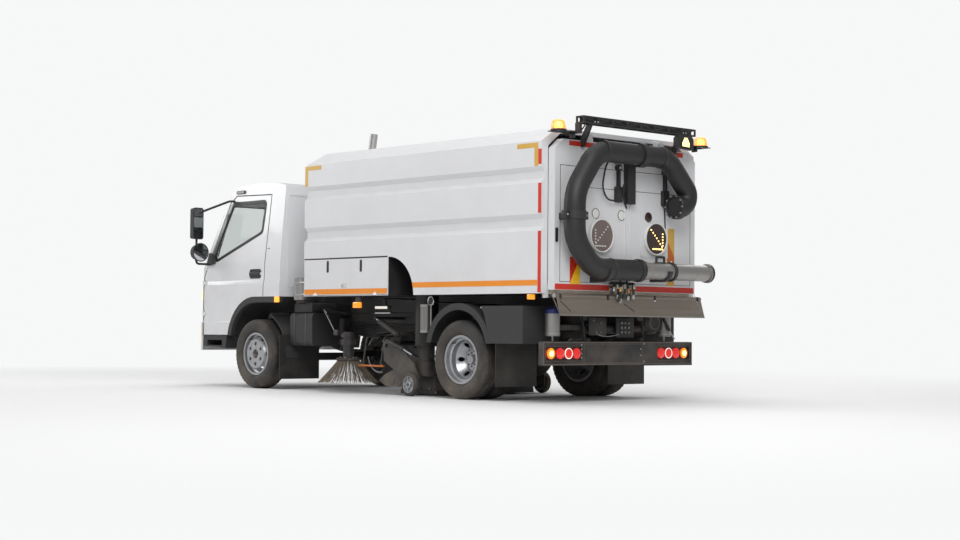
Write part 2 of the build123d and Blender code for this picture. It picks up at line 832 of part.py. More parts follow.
# Cab doors with their glass and mirrors
for side, sign in (("left", 1), ("right", -1)):
    with BuildPart() as cab_door:
        add((door_skin & prism(door_outline, 2 * cab_half_width)) - prism(door_window, 2 * cab_half_width))
        split(bisect_by=Plane.XZ, keep=Keep.BOTTOM if sign > 0 else Keep.TOP)
        with BuildSketch(Plane.XZ.offset(-sign * (waist_half + 10))):
            with Locations((handle_x, handle_z)):
                RectangleRounded(handle_length, handle_height, 40)
                Rectangle(handle_length, handle_bar, mode=Mode.SUBTRACT)
        extrude(amount=sign * (10 + handle_depth), mode=Mode.SUBTRACT)
        pin = (door_front_x, sign * cab_half_width)
        leaf = [(a, sign * b) for a, b in door_leaf]
        for bottom in hinge_bottoms:
            add(round_bar(Plane.XY.offset(bottom - moving_gap), pin, hinge_radius + moving_gap,
                          hinge_height + 2 * moving_gap), mode=Mode.SUBTRACT)
            add(hinge_leaf(Plane.XY.offset(bottom + hinge_lug + 2), pin, hinge_radius, leaf,
                           hinge_height - 2 * hinge_lug - 4))
            add(round_bar(Plane.XY.offset(bottom), pin, hinge_pin_radius + pin_gap, hinge_height), mode=Mode.SUBTRACT)
    save(cab_door, f"cab_door_{side}")

    with BuildPart() as door_glass:
        add((cab_form(14, 0) - cab_form(14 + glass_thickness, 0)) & grown(door_window, -seat_gap, 2 * cab_half_width))
        split(bisect_by=Plane.XZ, keep=Keep.BOTTOM if sign > 0 else Keep.TOP)
    save(door_glass, f"door_glass_{side}")

    # Mirror head in two housings on a looped tube that springs from the door
    with BuildPart() as mirror:
        with BuildSketch(Plane.YZ.offset(mirror_x)):
            with Locations((sign * (mirror_out - mirror_head_width / 2), 1862)):
                RectangleRounded(mirror_head_width, 364, 30)
        extrude(amount=75, taper=6)
        with BuildSketch(Plane.YZ.offset(mirror_x)):
            with Locations((sign * (mirror_out - mirror_round_radius), 1532)):
                Circle(mirror_round_radius)
        extrude(amount=85, taper=14)
        tube_x = mirror_x + 35
        tube_out = mirror_out - mirror_head_width / 2
        side_slope = (waist_half - roof_half_width) / (cab_top - lean_z)
        tube_in = waist_half - side_slope * (mirror_root_z - mirror_tube - lean_z) + seat_gap
        with BuildLine():
            FilletPolyline(
                (mirror_root_x, sign * tube_in, mirror_root_z),
                (mirror_root_x, sign * (tube_in + 70), mirror_root_z),
                (tube_x, sign * tube_out, mirror_arm_z),
                (tube_x, sign * tube_out, lean_z),
                (tube_x, sign * (waist_half + seat_gap), lean_z),
                radius=40,
            )
        with BuildSketch(Plane(origin=(mirror_root_x, sign * tube_in, mirror_root_z), z_dir=(0, sign, 0))):
            Circle(mirror_tube)
        sweep()
    save(mirror, f"mirror_{side}")

# Cab interior: seats, dashboard and steering wheel
dash_outline = [(front_x + 720, 1120), (front_x + 1300, 1120), (front_x + 1300, 1262), (front_x + 900, 1330),
                (front_x + 740, 1290)]
with BuildPart() as cab_interior:
    with BuildSketch(Plane.XY.offset(cab_rear_floor + cab_wall + seat_gap)):
        with Locations((front_x - 90, 0)):
            RectangleRounded(520, 1640, 60)
    extrude(amount=230)
    with BuildSketch(Plane.XY.offset(cab_rear_floor + cab_wall + 230)):
        for y in (-560, 0, 560):
            with Locations((front_x - 60, y)):
                RectangleRounded(480, 480, 70)
            with Locations((front_x - 290, y)):
                RectangleRounded(120, 460, 50)
    extrude(amount=130)
    with BuildSketch(Plane.XY.offset(cab_rear_floor + cab_wall + 350)):
        for y in (-560, 0, 560):
            with Locations((front_x - 300, y)):
                RectangleRounded(110, 440, 50)
    extrude(amount=480, taper=2)
    add(prism(dash_outline, cab_half_width - cab_wall - 25) & cab_form(cab_wall + seat_gap, cab_wall + seat_gap))
    with BuildSketch(Plane.XZ.offset(-580)):
        outline([(front_x + 583, 1376), (front_x + 617, 1398), (front_x + 790, 1280), (front_x + 750, 1240)])
    extrude(amount=50)
    wheel_seat = Plane(origin=(front_x + 600, 555, 1385), z_dir=(-0.55, 0, 0.83))
    with BuildSketch(wheel_seat):
        Circle(205)
        Circle(178, mode=Mode.SUBTRACT)
        Rectangle(40, 370)
        Rectangle(370, 40)
        Circle(55)
    extrude(amount=22)
save(cab_interior, "cab_interior")

# Headlamps let into the nose
with BuildPart() as headlamps:
    add(lamp_blocks(0) & (cab_form(-6, -6) - cab_form(lamp_depth, lamp_depth)))
save(headlamps, "headlamps")

# Front bumper on the frame
with BuildPart() as front_bumper:
    with BuildSketch(Plane.XY.offset(bumper_bottom)):
        bumper_face = front_x + front_overhang
        bumper_end = door_front_x + door_gap + 8
        with BuildLine():
            Line((bumper_end, -cab_half_width), (bumper_end, cab_half_width))
            Line((bumper_end, cab_half_width), (cab_nose - 60, cab_half_width))
            ThreePointArc((cab_nose - 60, cab_half_width), (bumper_face - 45, 930), (bumper_face - 15, 780))
            ThreePointArc((bumper_face - 15, 780), (bumper_face, 0), (bumper_face - 15, -780))
            ThreePointArc((bumper_face - 15, -780), (bumper_face - 45, -930), (cab_nose - 60, -cab_half_width))
            Line((cab_nose - 60, -cab_half_width), (bumper_end, -cab_half_width))
        make_face()
        offset(amount=-bumper_skin, mode=Mode.SUBTRACT)
        with Locations((bumper_end, 0)):
            Rectangle(3 * bumper_skin, 2 * (cab_half_width - bumper_skin), mode=Mode.SUBTRACT)
    extrude(amount=bumper_top - bumper_bottom)
    rim = front_bumper.faces().sort_by(Axis.Z)[-1].edges().filter_by(GeomType.CIRCLE)
    fillet(rim, radius=0.45 * bumper_skin)
    for sign in (1, -1):
        with BuildSketch(Plane.XY.offset(rail_top - rail_height + 20)):
            bracket_start = frame_front - 80
            with Locations(((bracket_start + bumper_face - bumper_skin / 2) / 2,
                            sign * (frame_half_width - rail_skin - seat_gap - 20))):
                Rectangle(bumper_face - bumper_skin / 2 - bracket_start, 40)
        extrude(amount=40)
save(front_bumper, "front_bumper")

# Steps under the doors and the arches over the rear wheels
with BuildPart() as mudguards:
    for sign in (1, -1):
        with BuildSketch(Plane.XZ.offset(-sign * (cab_half_width - 120))):
            outline([(door_front_x, cab_floor - moving_gap), (door_front_x, 460), (front_x + 600, 440),
                     (front_x + 575, cab_floor - moving_gap)])
            with Locations(((door_front_x + front_x + 600) / 2, 500)):
                Rectangle(300, 60, mode=Mode.SUBTRACT)
        extrude(amount=110, both=True)
        with BuildSketch(Plane.XY.offset(rail_top - rail_height - 40)):
            with Locations((front_x + 960, sign * (frame_half_width + 170))):
                Rectangle(60, 340)
        extrude(amount=30)
        with BuildSketch(Plane.XZ.offset(-sign * (rear_wheel_y + 10))):
            with Locations((rear_x, tyre_radius + 75)):
                Circle(guard_radius)
                Circle(guard_radius - guard_skin, mode=Mode.SUBTRACT)
            with Locations((rear_x, tyre_radius - 235)):
                Rectangle(3 * guard_radius, 790, mode=Mode.SUBTRACT)
            outline([(rear_x - guard_radius + guard_skin, 545), (rear_x - 900, 545), (rear_x - 900, 900),
                     (rear_x - 330, 900), (rear_x - 380, 800)])
        extrude(amount=(guard_width - 20) / 2, both=True)
        with BuildSketch(Plane.XZ.offset(-sign * (rear_wheel_y + guard_width / 2))):
            with Locations((rear_x, tyre_radius + 75)):
                Circle(guard_radius)
                Circle(guard_radius - guard_lip, mode=Mode.SUBTRACT)
            with Locations((rear_x, tyre_radius - 235)):
                Rectangle(3 * guard_radius, 790, mode=Mode.SUBTRACT)
        extrude(amount=sign * guard_lip_skin)
        with BuildSketch(Plane.YZ.offset(rear_x - 700)):
            with Locations((sign * (frame_half_width + 80), 700)):
                Rectangle(2 * (80 - seat_gap), 60)
        extrude(amount=120)
save(mudguards, "mudguards")

with BuildPart() as mudflaps:
    for sign in (1, -1):
        with BuildSketch(Plane.YZ.offset(rear_x - 520)):
            with Locations((sign * 770, (flap_bottom + 545 - seat_gap) / 2)):
                Rectangle(flap_width, 545 - seat_gap - flap_bottom)
        extrude(amount=flap_skin_rubber)
        with BuildSketch(Plane.YZ.offset(front_flap_x)):
            with Locations((sign * front_flap_y, (front_flap_bottom + front_flap_top) / 2)):
                Rectangle(flap_width, front_flap_top - front_flap_bottom)
        extrude(amount=flap_skin_rubber)
        with BuildSketch(Plane.YZ.offset(front_flap_x)):
            for y in (front_flap_y - 150, front_flap_y + 50):
                with Locations((sign * y, front_flap_top - 40)):
                    Rectangle(50, 50)
        extrude(amount=tank_front - front_flap_x + seat_gap)
save(mudflaps, "mudflaps")

# Rear bumper: a box beam with two lamp boards on brackets from the rails
with BuildPart() as rear_bumper:
    with BuildSketch(Plane.YZ.offset(rear_x - 1150)):
        with Locations((0, 460)):
            Rectangle(2 * rear_bumper_half, 220)
    extrude(amount=60)
    with BuildSketch(Plane.YZ.offset(rear_x - 1150)):
        for sign in (1, -1):
            with Locations((sign * 770, 460)):
                Rectangle(500, 150)
    extrude(amount=25, mode=Mode.SUBTRACT)
    for sign in (1, -1):
        with BuildSketch(Plane.XY.offset(400)):
            with Locations((rear_x - 1060, sign * (frame_half_width - 50))):
                Rectangle(60, 60)
        extrude(amount=rail_top - rail_height - 400 - seat_gap)
save(rear_bumper, "rear_bumper")

with BuildPart() as tail_lamps:
    with BuildSketch(Plane.YZ.offset(rear_x - 1142)):
        for sign in (1, -1):
            for y in (590, 700, 810, 930):
                with Locations((sign * y, 460)):
                    Circle(52)
    extrude(amount=17 - seat_gap)
save(tail_lamps, "tail_lamps")

# Engine: one plain block between the rails
with BuildPart() as engine_block:
    with BuildSketch(Plane.XY.offset(470)):
        with Locations((front_x + 30, 0)):
            RectangleRounded(660, 560, 40)
    extrude(amount=385)
    for place in (front_x - 230, front_x + 290):
        with BuildSketch(Plane.XY.offset(620)):
            with Locations((place, 0)):
                Rectangle(70, 2 * (frame_half_width - rail_skin - seat_gap))
        extrude(amount=60)
save(engine_block, "engine_block")

# Boxes and tanks along the frame
with BuildPart() as side_tanks:
    for sign in (1, -1):
        with BuildSketch(Plane.YZ.offset(tank_front)):
            with Locations((sign * (frame_half_width + 240), 660)):
                RectangleRounded(420, 360, 50)
        extrude(amount=-tank_length)
        with BuildSketch(Plane.YZ.offset(rear_x + 2600)):
            with Locations((sign * (frame_half_width + 20), 690)):
                Rectangle(40 - 2 * seat_gap, 60)
        extrude(amount=300)
save(side_tanks, "side_tanks")

with BuildPart() as air_tanks:
    with BuildSketch(Plane.XY.offset(980)):
        with Locations((rear_x + 2790, 860)):
            Circle(75)
    extrude(amount=240)
    with BuildSketch(Plane.XY.offset(840 + seat_gap)):
        with Locations((rear_x + 2790, 800)):
            Rectangle(50, 50)
    extrude(amount=140)
    for sign in (1, -1):
        with BuildSketch(Plane.XY.offset(620)):
            with Locations((rear_x - 1010, sign * 780)):
                Circle(70)
        extrude(amount=210)
        with BuildSketch(Plane.XZ.offset(-sign * (frame_half_width + seat_gap))):
            with Locations((rear_x - 1010, 700)):
                Rectangle(50, 50)
        extrude(amount=-sign * 300)
    with BuildSketch(Plane.XY.offset(filter_bottom)):
        with Locations((filter_x, filter_y)):
            RectangleRounded(filter_width, filter_depth, 14)
    extrude(amount=filter_height)
    with BuildSketch(Plane.XZ.offset(-filter_y - filter_depth / 2)):
        for number in range(filter_ribs):
            step = filter_width / filter_ribs
            with Locations((filter_x + (number - (filter_ribs - 1) / 2) * step, filter_bottom + filter_height / 2)):
                Rectangle(step / 2, filter_height - 50)
    extrude(amount=6, mode=Mode.SUBTRACT)
    with BuildSketch(Plane.XZ.offset(-frame_half_width - seat_gap)):
        with Locations((filter_x, 700)):
            Rectangle(40, 40)
    extrude(amount=-(filter_y - frame_half_width - seat_gap))
save(air_tanks, "air_tanks")

# Hopper: swaged sides, sloped roof edges, open at the rear
hopper_side = [(hopper_half_width, hopper_bottom)]
for groove_low, groove_high in swages:
    hopper_side += [
        (hopper_half_width, groove_low),
        (hopper_half_width - swage_depth, groove_low + swage_slope),
        (hopper_half_width - swage_depth, groove_high - swage_slope),
        (hopper_half_width, groove_high),
    ]
hopper_side += [(hopper_half_width, hopper_side_top), (hopper_roof_half, hopper_roof)]
cavity_half = hopper_half_width - swage_depth - hopper_wall
hopper_cavity = [
    (cavity_half, hopper_floor),
    (cavity_half, hopper_side_top - hopper_wall),
    (hopper_roof_half - hopper_wall, hopper_roof - hopper_wall),
]
hopper_length = hopper_front - hopper_rear
bay_front = locker_rear - flap_gap

# Leaves of the locker hinges, measured from the pin as (outward, up)
flap_middle = (locker_rear + hopper_front) / 2
sill_leaf = [(7, -6), (-6, -10), (-40, -10), (-40, -5), (-14, -5), (-7, 5)]
flap_leaf = [(9, 0), (0, 30), (-20, 30), (-9, 0)]

with BuildPart() as hopper_body:
    with BuildSketch(Plane.YZ.offset(hopper_rear)):
        outline(both_ways(hopper_side))
    extrude(amount=hopper_length)
    with BuildSketch(Plane.XZ):
        outline([(hopper_front + 1, hopper_side_top - 60), (hopper_front - front_slope, hopper_roof + 1),
                 (hopper_front + 1, hopper_roof + 1)])
    extrude(amount=hopper_half_width, both=True, mode=Mode.SUBTRACT)
    with BuildSketch(Plane.YZ.offset(hopper_rear)):
        outline(both_ways(hopper_cavity))
    extrude(amount=hopper_length - hopper_wall, mode=Mode.SUBTRACT)
    with BuildSketch(Plane.XZ):
        outline([(bay_front - hose_bay_radius - hopper_wall, hopper_bottom), (hopper_front, hopper_bottom),
                 (hopper_front, locker_top + hopper_wall), (bay_front - hose_bay_radius - hopper_wall,
                 locker_top + hopper_wall)])
    extrude(amount=hopper_half_width - swage_depth, both=True)
    for sign in (1, -1):
        outer = Plane.XZ.offset(-sign * (hopper_half_width + 1))
        with BuildSketch(outer):
            with Locations(((bay_front - hose_bay_radius / 2), hopper_bottom + hose_bay_radius / 2)):
                Rectangle(hose_bay_radius, hose_bay_radius)
            with Locations((bay_front, hopper_bottom)):
                Circle(hose_bay_radius, mode=Mode.INTERSECT)
        extrude(amount=sign * hose_bay_depth, mode=Mode.SUBTRACT)
        with BuildSketch(outer):
            with Locations((flap_middle, (hopper_bottom + locker_top) / 2)):
                Rectangle(hopper_front - locker_rear - 2 * flap_gap, locker_top - hopper_bottom - 2 * flap_gap)
        extrude(amount=sign * locker_depth, mode=Mode.SUBTRACT)
        with BuildSketch(Plane.YZ.offset(tip_x + 100)):
            with Locations((sign * beam_y, (hopper_bottom + rail_top + subframe_height + moving_gap) / 2)):
                Rectangle(2 * beam_half_width, hopper_bottom - rail_top - subframe_height - moving_gap)
        extrude(amount=hopper_front - tip_x - 100)
        for way in (1, -1):
            with BuildSketch(Plane.XZ.offset(-sign * beam_y + way * (beam_half_width + 6))):
                with Locations((tip_x, tip_z)):
                    Circle(tip_lug_radius - 5)
                with Locations((tip_x, (tip_z + hopper_bottom) / 2)):
                    Rectangle(2 * tip_lug_radius - 10, hopper_bottom - tip_z)
            extrude(amount=8, both=True)
        with BuildSketch(Plane.XZ.offset(-sign * beam_y)):
            with Locations((tip_x, tip_z)):
                Circle(tip_pin_radius)
        extrude(amount=beam_half_width + 10, both=True)
        for y in (500 - 34, 500 + 34):
            with BuildSketch(Plane.XZ.offset(-sign * y)):
                outline([(hopper_rear + 5, lift_z - 75), (hopper_rear + 5, hopper_roof - 8), (lift_x, lift_z + 22),
                         (lift_x, lift_z - 22), (hopper_rear - 2, lift_z - 53)])
                with Locations((lift_x, lift_z)):
                    Circle(22)
            extrude(amount=6, both=True)
        with BuildSketch(Plane.XZ.offset(-sign * 500)):
            with Locations((lift_x, lift_z)):
                Circle(lift_pin_radius)
        extrude(amount=40, both=True)
        with BuildSketch(Plane.XY.offset(hose_top + moving_gap)):
            with Locations((hose_x, sign * hose_y)):
                Circle(hose_radius)
        extrude(amount=200)
        with BuildSketch(Plane.XY.offset(hose_top + moving_gap)):
            with Locations((hose_x, sign * hose_y)):
                Circle(hose_bore)
        extrude(amount=120, mode=Mode.SUBTRACT)
        pin = (sign * hopper_half_width, flap_pin_z)
        leaf = [(sign * a, b) for a, b in sill_leaf]
        for place in flap_hinges:
            start = flap_middle + place - flap_knuckle / 2 - flap_lug - 2
            length = flap_knuckle + 2 * flap_lug + 4
            add(round_bar(Plane.YZ.offset(start - flap_gap), pin, flap_knuckle_radius + flap_gap,
                          length + 2 * flap_gap), mode=Mode.SUBTRACT)
            add(round_bar(Plane.YZ.offset(start), pin, flap_pin_radius, length))
            for lug in (start, start + length - flap_lug):
                add(hinge_leaf(Plane.YZ.offset(lug), pin, flap_knuckle_radius, leaf, flap_lug))
    with BuildSketch(Plane.XZ.offset(-chute_half_width + 25)):
        with Locations((chute_x, chute_z)):
            Circle(chute_rod_radius)
    extrude(amount=2 * chute_half_width - 50)
    with BuildSketch(Plane.YZ.offset(chute_x)):
        for y in chute_lugs:
            with Locations((y, chute_z)):
                Rectangle(20, 34)
    extrude(amount=hopper_rear - chute_x)
    with BuildSketch(Plane.YZ.offset(hopper_rear)):
        with Locations((0, (hopper_bottom + chute_z) / 2 - 5)):
            Rectangle(2 * chute_half_width, hopper_bottom - chute_z + 30)
    extrude(amount=40)
save(hopper_body, "hopper_body")

# Locker flaps, hinged along their lower edges
for side, sign in (("left", 1), ("right", -1)):
    with BuildPart() as locker_flap:
        with BuildSketch(Plane.XZ.offset(-sign * hopper_half_width)):
            with Locations((flap_middle, (hopper_bottom + locker_top) / 2)):
                Rectangle(hopper_front - locker_rear - 4 * flap_gap, locker_top - hopper_bottom - 4 * flap_gap)
        extrude(amount=sign * flap_skin)
        pin = (sign * hopper_half_width, flap_pin_z)
        leaf = [(sign * a, b) for a, b in flap_leaf]
        for place in flap_hinges:
            start = flap_middle + place - flap_knuckle / 2
            space = flap_lug + 2 + flap_gap
            add(round_bar(Plane.YZ.offset(start - space), pin, flap_knuckle_radius + flap_gap,
                          flap_knuckle + 2 * space), mode=Mode.SUBTRACT)
            add(hinge_leaf(Plane.YZ.offset(start), pin, flap_knuckle_radius, leaf, flap_knuckle))
            add(round_bar(Plane.YZ.offset(start), pin, flap_pin_radius + pin_gap, flap_knuckle), mode=Mode.SUBTRACT)
    save(locker_flap, f"locker_flap_{side}")

# Vent pipe over the roof
with BuildPart() as roof_pipe:
    with BuildLine():
        FilletPolyline((pipe_x, pipe_y, hopper_roof + seat_gap), (pipe_x, pipe_y, pipe_bend_z),
                       (pipe_x - 30, pipe_y, pipe_top), radius=60)
    with BuildSketch(Plane.XY.offset(hopper_roof + seat_gap)):
        with Locations((pipe_x, pipe_y)):
            Circle(pipe_radius)
    sweep()
save(roof_pipe, "roof_pipe")

# Rear door
with BuildPart() as rear_door:
    with BuildSketch(Plane.YZ.offset(door_face)):
        outline(both_ways([(door_half_width, door_bottom), (door_half_width, door_shoulder), (880, door_top)]))
    extrude(amount=door_thickness)
    with BuildSketch(Plane.YZ.offset(door_face + 8)):
        outline(both_ways([(door_half_width - 45, door_bottom + 45), (door_half_width - 45, door_shoulder - 20),
                           (855, door_top - 45)]))
    extrude(amount=door_thickness, mode=Mode.SUBTRACT)
    for sign in (1, -1):
        with BuildSketch(Plane.XZ.offset(-sign * 500)):
            outline([(door_face, door_top - 60), (door_face + 45, door_top - 60), (door_face + 45, door_top - 4),
                     (lift_x + 18, lift_z + 24), (lift_x - 24, lift_z + 24), (door_face, door_top + 20)])
            with Locations((lift_x, lift_z)):
                Circle(lift_pin_radius + pin_gap, mode=Mode.SUBTRACT)
        extrude(amount=20, both=True)
save(rear_door, "rear_door")

# Wander hose: one bent tube from its door coupling round to the nozzle tube
hose_route = [
    (wander_x, -560, inlet_z),
    (wander_x, -830, inlet_z),
    (wander_x, -380, wander_top),
    (wander_x, 600, wander_top),
    (wander_x, wander_left_y, 1950),
    (wander_x, wander_left_y, 1500),
    (wander_x, 640, nozzle_z),
    (wander_x, 0, nozzle_z),
]
hose_bends = [112, 300, 300, 400, 350, 300]
with BuildPart() as wander_hose:
    with BuildLine():
        FilletPolyline(*hose_route, radius=hose_bends)
    with BuildSketch(Plane(origin=hose_route[0], z_dir=(0, -1, 0))):
        Circle(wander_radius)
    sweep()
    with BuildSketch(Plane(origin=hose_route[0], z_dir=(0, 1, 0))):
        Circle(wander_radius + 18)
    extrude(amount=60)
    with BuildSketch(Plane.YZ.offset(wander_x)):
        with Locations((inlet_y, inlet_z)):
            Circle(inlet_radius)
    extrude(amount=door_face - wander_x - seat_gap)
save(wander_hose, "wander_hose")

with BuildPart() as nozzle_tube:
    with BuildSketch(Plane.XZ.offset(seat_gap)):
        with Locations((wander_x, nozzle_z)):
            Circle(nozzle_radius)
            Circle(nozzle_radius - 6, mode=Mode.SUBTRACT)
    extrude(amount=1000)
    for start, length in ((seat_gap, 55), (420, 30), (960, 40)):
        with BuildSketch(Plane.XZ.offset(start)):
            with Locations((wander_x, nozzle_z)):
                Circle(nozzle_radius + 12)
                Circle(nozzle_radius - 6, mode=Mode.SUBTRACT)
        extrude(amount=length)
save(nozzle_tube, "nozzle_tube")

# Mast, saddles and cradles that carry the hose on the door
cradles = [(490, wander_radius), (-345, nozzle_radius)]
mast_bottom = 1880
with BuildPart() as hose_carrier:
    with BuildSketch(Plane.XY.offset(mast_bottom)):
        with Locations((door_face - seat_gap - 27, 0)):
            Rectangle(54, 110)
    extrude(amount=door_top - 5 - mast_bottom)
    with BuildSketch(Plane.XZ.offset(-40)):
        with Locations((wander_x, wander_top)):
            Circle(wander_radius + 16)
        with Locations(((wander_x + door_face) / 2, wander_top)):
            Rectangle(door_face - wander_x - 30, 120)
        with Locations((wander_x, wander_top)):
            Circle(wander_radius + seat_gap, mode=Mode.SUBTRACT)
    extrude(amount=80)
    for y, radius in cradles:
        with BuildSketch(Plane.XZ.offset(-y - 25)):
            with Locations((wander_x, nozzle_z)):
                Circle(radius + 16)
            with Locations(((wander_x + door_face) / 2, nozzle_z - radius / 2 - 20)):
                Rectangle(door_face - wander_x - 2 * seat_gap, radius)
            with Locations((wander_x, nozzle_z)):
                Circle(radius + seat_gap, mode=Mode.SUBTRACT)
            with Locations((wander_x, nozzle_z + 2 * radius)):
                Rectangle(4 * radius, 4 * radius, mode=Mode.SUBTRACT)
        extrude(amount=50)
    with BuildSketch(Plane.XY.offset(1690)):
        with Locations(((wander_x + wander_radius + door_face) / 2, wander_left_y)):
            Rectangle(door_face - wander_x - wander_radius - 2 * seat_gap, 90)
    extrude(amount=60)
    for y in (150, -515):
        with BuildSketch(Plane.YZ.offset(door_face - 40)):
            with Locations((y, wander_top - 120)):
                Circle(32)
            with Locations((y, wander_top - 230)):
                Rectangle(22, 200)
            with Locations((y, wander_top - 375)):
                RectangleRounded(80, 150, 12)
        extrude(amount=40 - seat_gap)
save(hose_carrier, "hose_carrier")

# Light bar: an open lattice with arms down to the door and out to the beacon shelves
with BuildPart() as light_bar:
    for z in (bar_bottom, bar_top - 14):
        for x in (bar_x - bar_depth / 2, bar_x + bar_depth / 2 - 14):
            with BuildSketch(Plane.XZ.offset(-bar_half_width)):
                with Locations((x + 7, z + 7)):
                    Rectangle(14, 14)
            extrude(amount=2 * bar_half_width)
    for number in range(bar_posts):
        y = -bar_half_width + 10 + number * (2 * bar_half_width - 20) / (bar_posts - 1)
        with BuildSketch(Plane.XZ.offset(-y - 10)):
            with Locations((bar_x, (bar_bottom + bar_top) / 2)):
                Rectangle(bar_depth, bar_top - bar_bottom)
                Rectangle(bar_depth - 20, bar_top - bar_bottom - 20, mode=Mode.SUBTRACT)
        extrude(amount=20)
    for sign in (1, -1):
        with BuildSketch(Plane.XZ.offset(-sign * 640)):
            outline([(door_face + 5, door_top - 60), (door_face - 30, door_top - 60), (bar_x - 20, bar_bottom + 8),
                     (bar_x + 45, bar_bottom + 8), (door_face + 5, door_top + 10)])
            with Locations((door_face + 2.5, door_top - 30)):
                Rectangle(5 + 2 * seat_gap, 200, mode=Mode.SUBTRACT)
        extrude(amount=12, both=True)
        with BuildSketch(Plane.XY.offset(beacon_shelf_z)):
            with Locations((beacon_x, sign * beacon_y)):
                Rectangle(150, 130)
            with Locations((beacon_x - 30, sign * (beacon_y + bar_half_width - 30) / 2)):
                Rectangle(60, beacon_y - bar_half_width + 30)
        extrude(amount=8)
        with BuildSketch(Plane.XY.offset(beacon_shelf_z)):
            with Locations((bar_x + 30, sign * (bar_half_width - 15))):
                Rectangle(60, 30)
        extrude(amount=bar_bottom - beacon_shelf_z + 8)
        with BuildSketch(Plane.XZ.offset(-sign * 860)):
            with Locations(((bar_x + beacon_x) / 2, beacon_shelf_z + 4)):
                Rectangle(120, 8)
        extrude(amount=80, both=True)
save(light_bar, "light_bar")

# Lamps on the door: two round arrow lamps, amber beacons and a square work lamp
with BuildPart() as signal_lamps:
    with BuildSketch(Plane.YZ.offset(door_face - 38)):
        for sign in (1, -1):
            with Locations((sign * arrow_y, arrow_z)):
                Circle(arrow_radius)
    extrude(amount=38 - seat_gap)
    with BuildSketch(Plane.XY.offset(beacon_shelf_z + 8 + seat_gap)):
        for sign in (1, -1):
            with Locations((beacon_x, sign * beacon_y)):
                Circle(beacon_radius)
    extrude(amount=90, taper=8)
    with BuildSketch(Plane.YZ.offset(bar_x - 78)):
        with Locations((-706, bar_bottom - 60 - seat_gap)):
            RectangleRounded(100, 120, 12)
    extrude(amount=70)
save(signal_lamps, "signal_lamps")

# Tail chute
with BuildPart() as tail_chute:
    with BuildSketch(Plane.XZ.offset(-chute_half_width)):
        outline([(chute_x - 20, chute_z), (chute_x - chute_reach - 20, chute_z - chute_drop),
                 (chute_x - chute_reach - 14, chute_z - chute_drop - 4), (chute_x - 14, chute_z - 4)])
        with Locations((chute_x, chute_z)):
            Circle(24)
            Circle(chute_rod_radius + pin_gap, mode=Mode.SUBTRACT)
    extrude(amount=2 * chute_half_width)
    with BuildSketch(Plane.YZ.offset(chute_x - 30)):
        for y in chute_lugs:
            with Locations((y, chute_z)):
                Rectangle(34, 60)
    extrude(amount=60, mode=Mode.SUBTRACT)
    for sign in (1, -1):
        with BuildSketch(Plane.XZ.offset(-sign * chute_half_width)):
            outline([(chute_x + 75, chute_z + 60), (chute_x - chute_reach - 20, chute_z - chute_drop),
                     (chute_x - 10, chute_z - 60), (chute_x + 20, chute_z - 12)])
        extrude(amount=-sign * chute_skin)
save(tail_chute, "tail_chute")

# Pick-up head: an open-bottomed hood on trailing arms, with necks for the two hoses
head_outline = [
    (head_x - 270, 45), (head_x + 260, 45), (head_x + 260, 190), (head_x + 120, 320), (head_x - 210, 330),
    (head_x - 270, 200),
]

# Side arm and skirt of the head as (forward of the rear axle, height)
castor_arm = [(1335, 500), (1225, 560), (1020, 471), (848, 332), (760, 190), (768, 80), (870, 60), (960, 150),
              (1311, 345)]
castor_arm_eye = (1275, 500)
head_skirt = [(1147, 271), (992, 253), (1075, 86), (1300, 90), (1406, 143), (1330, 200)]
castor_arm_y = castor_y - castor_width / 2 - 14
with BuildPart() as pickup_head:
    with BuildSketch(Plane.XZ.offset(-head_half_width)):
        outline(head_outline)
    extrude(amount=2 * head_half_width)
    for sign in (1, -1):
        with BuildSketch(Plane.XY.offset(200)):
            with Locations((hose_x, sign * hose_y)):
                Circle(neck_radius + 20)
        extrude(amount=150)
        with BuildSketch(Plane.XY.offset(200)):
            with Locations((hose_x, sign * hose_y)):
                Circle(neck_radius)
        extrude(amount=330)
        with BuildSketch(Plane.XZ.offset(-sign * head_arm_y)):
            with Locations((head_pivot_x, head_pivot_z)):
                Circle(48)
            outline([(head_pivot_x, head_pivot_z + 40), (head_x + 40, 330), (head_x + 100, 260),
                     (head_pivot_x, head_pivot_z - 40)])
            with Locations((head_pivot_x, head_pivot_z)):
                Circle(head_pin_radius + pin_gap, mode=Mode.SUBTRACT)
        extrude(amount=20, both=True)
        with BuildSketch(Plane.XZ.offset(-sign * castor_arm_y)):
            outline([(rear_x + a, b) for a, b in castor_arm])
            with Locations((rear_x + castor_arm_eye[0], castor_arm_eye[1])):
                Circle(58)
                Circle(24, mode=Mode.SUBTRACT)
            with Locations((castor_x, castor_radius)):
                Circle(70)
        extrude(amount=7, both=True)
        with BuildSketch(Plane.XZ.offset(-sign * (castor_arm_y - 12))):
            outline([(rear_x + a, b) for a, b in head_skirt])
        extrude(amount=6, both=True)
        with BuildSketch(Plane.XZ.offset(-sign * castor_arm_y)):
            with Locations((castor_x, castor_radius)):
                Circle(15)
        extrude(amount=-sign * (castor_width + 20))
        for level, forward, bar in ((215, 130, 60), (120, 330, 40)):
            with BuildSketch(Plane.XY.offset(level)):
                with Locations((castor_x + forward, sign * (head_half_width + castor_arm_y) / 2)):
                    Rectangle(bar, castor_arm_y - head_half_width)
            extrude(amount=40)
    with BuildSketch(Plane.XZ.offset(-head_half_width + 12)):
        outline(head_outline)
        offset(amount=-12, mode=Mode.REPLACE)
        with Locations((head_x - 5, 45)):
            Rectangle(506, 60)
    extrude(amount=2 * head_half_width - 24, mode=Mode.SUBTRACT)
save(pickup_head, "pickup_head")

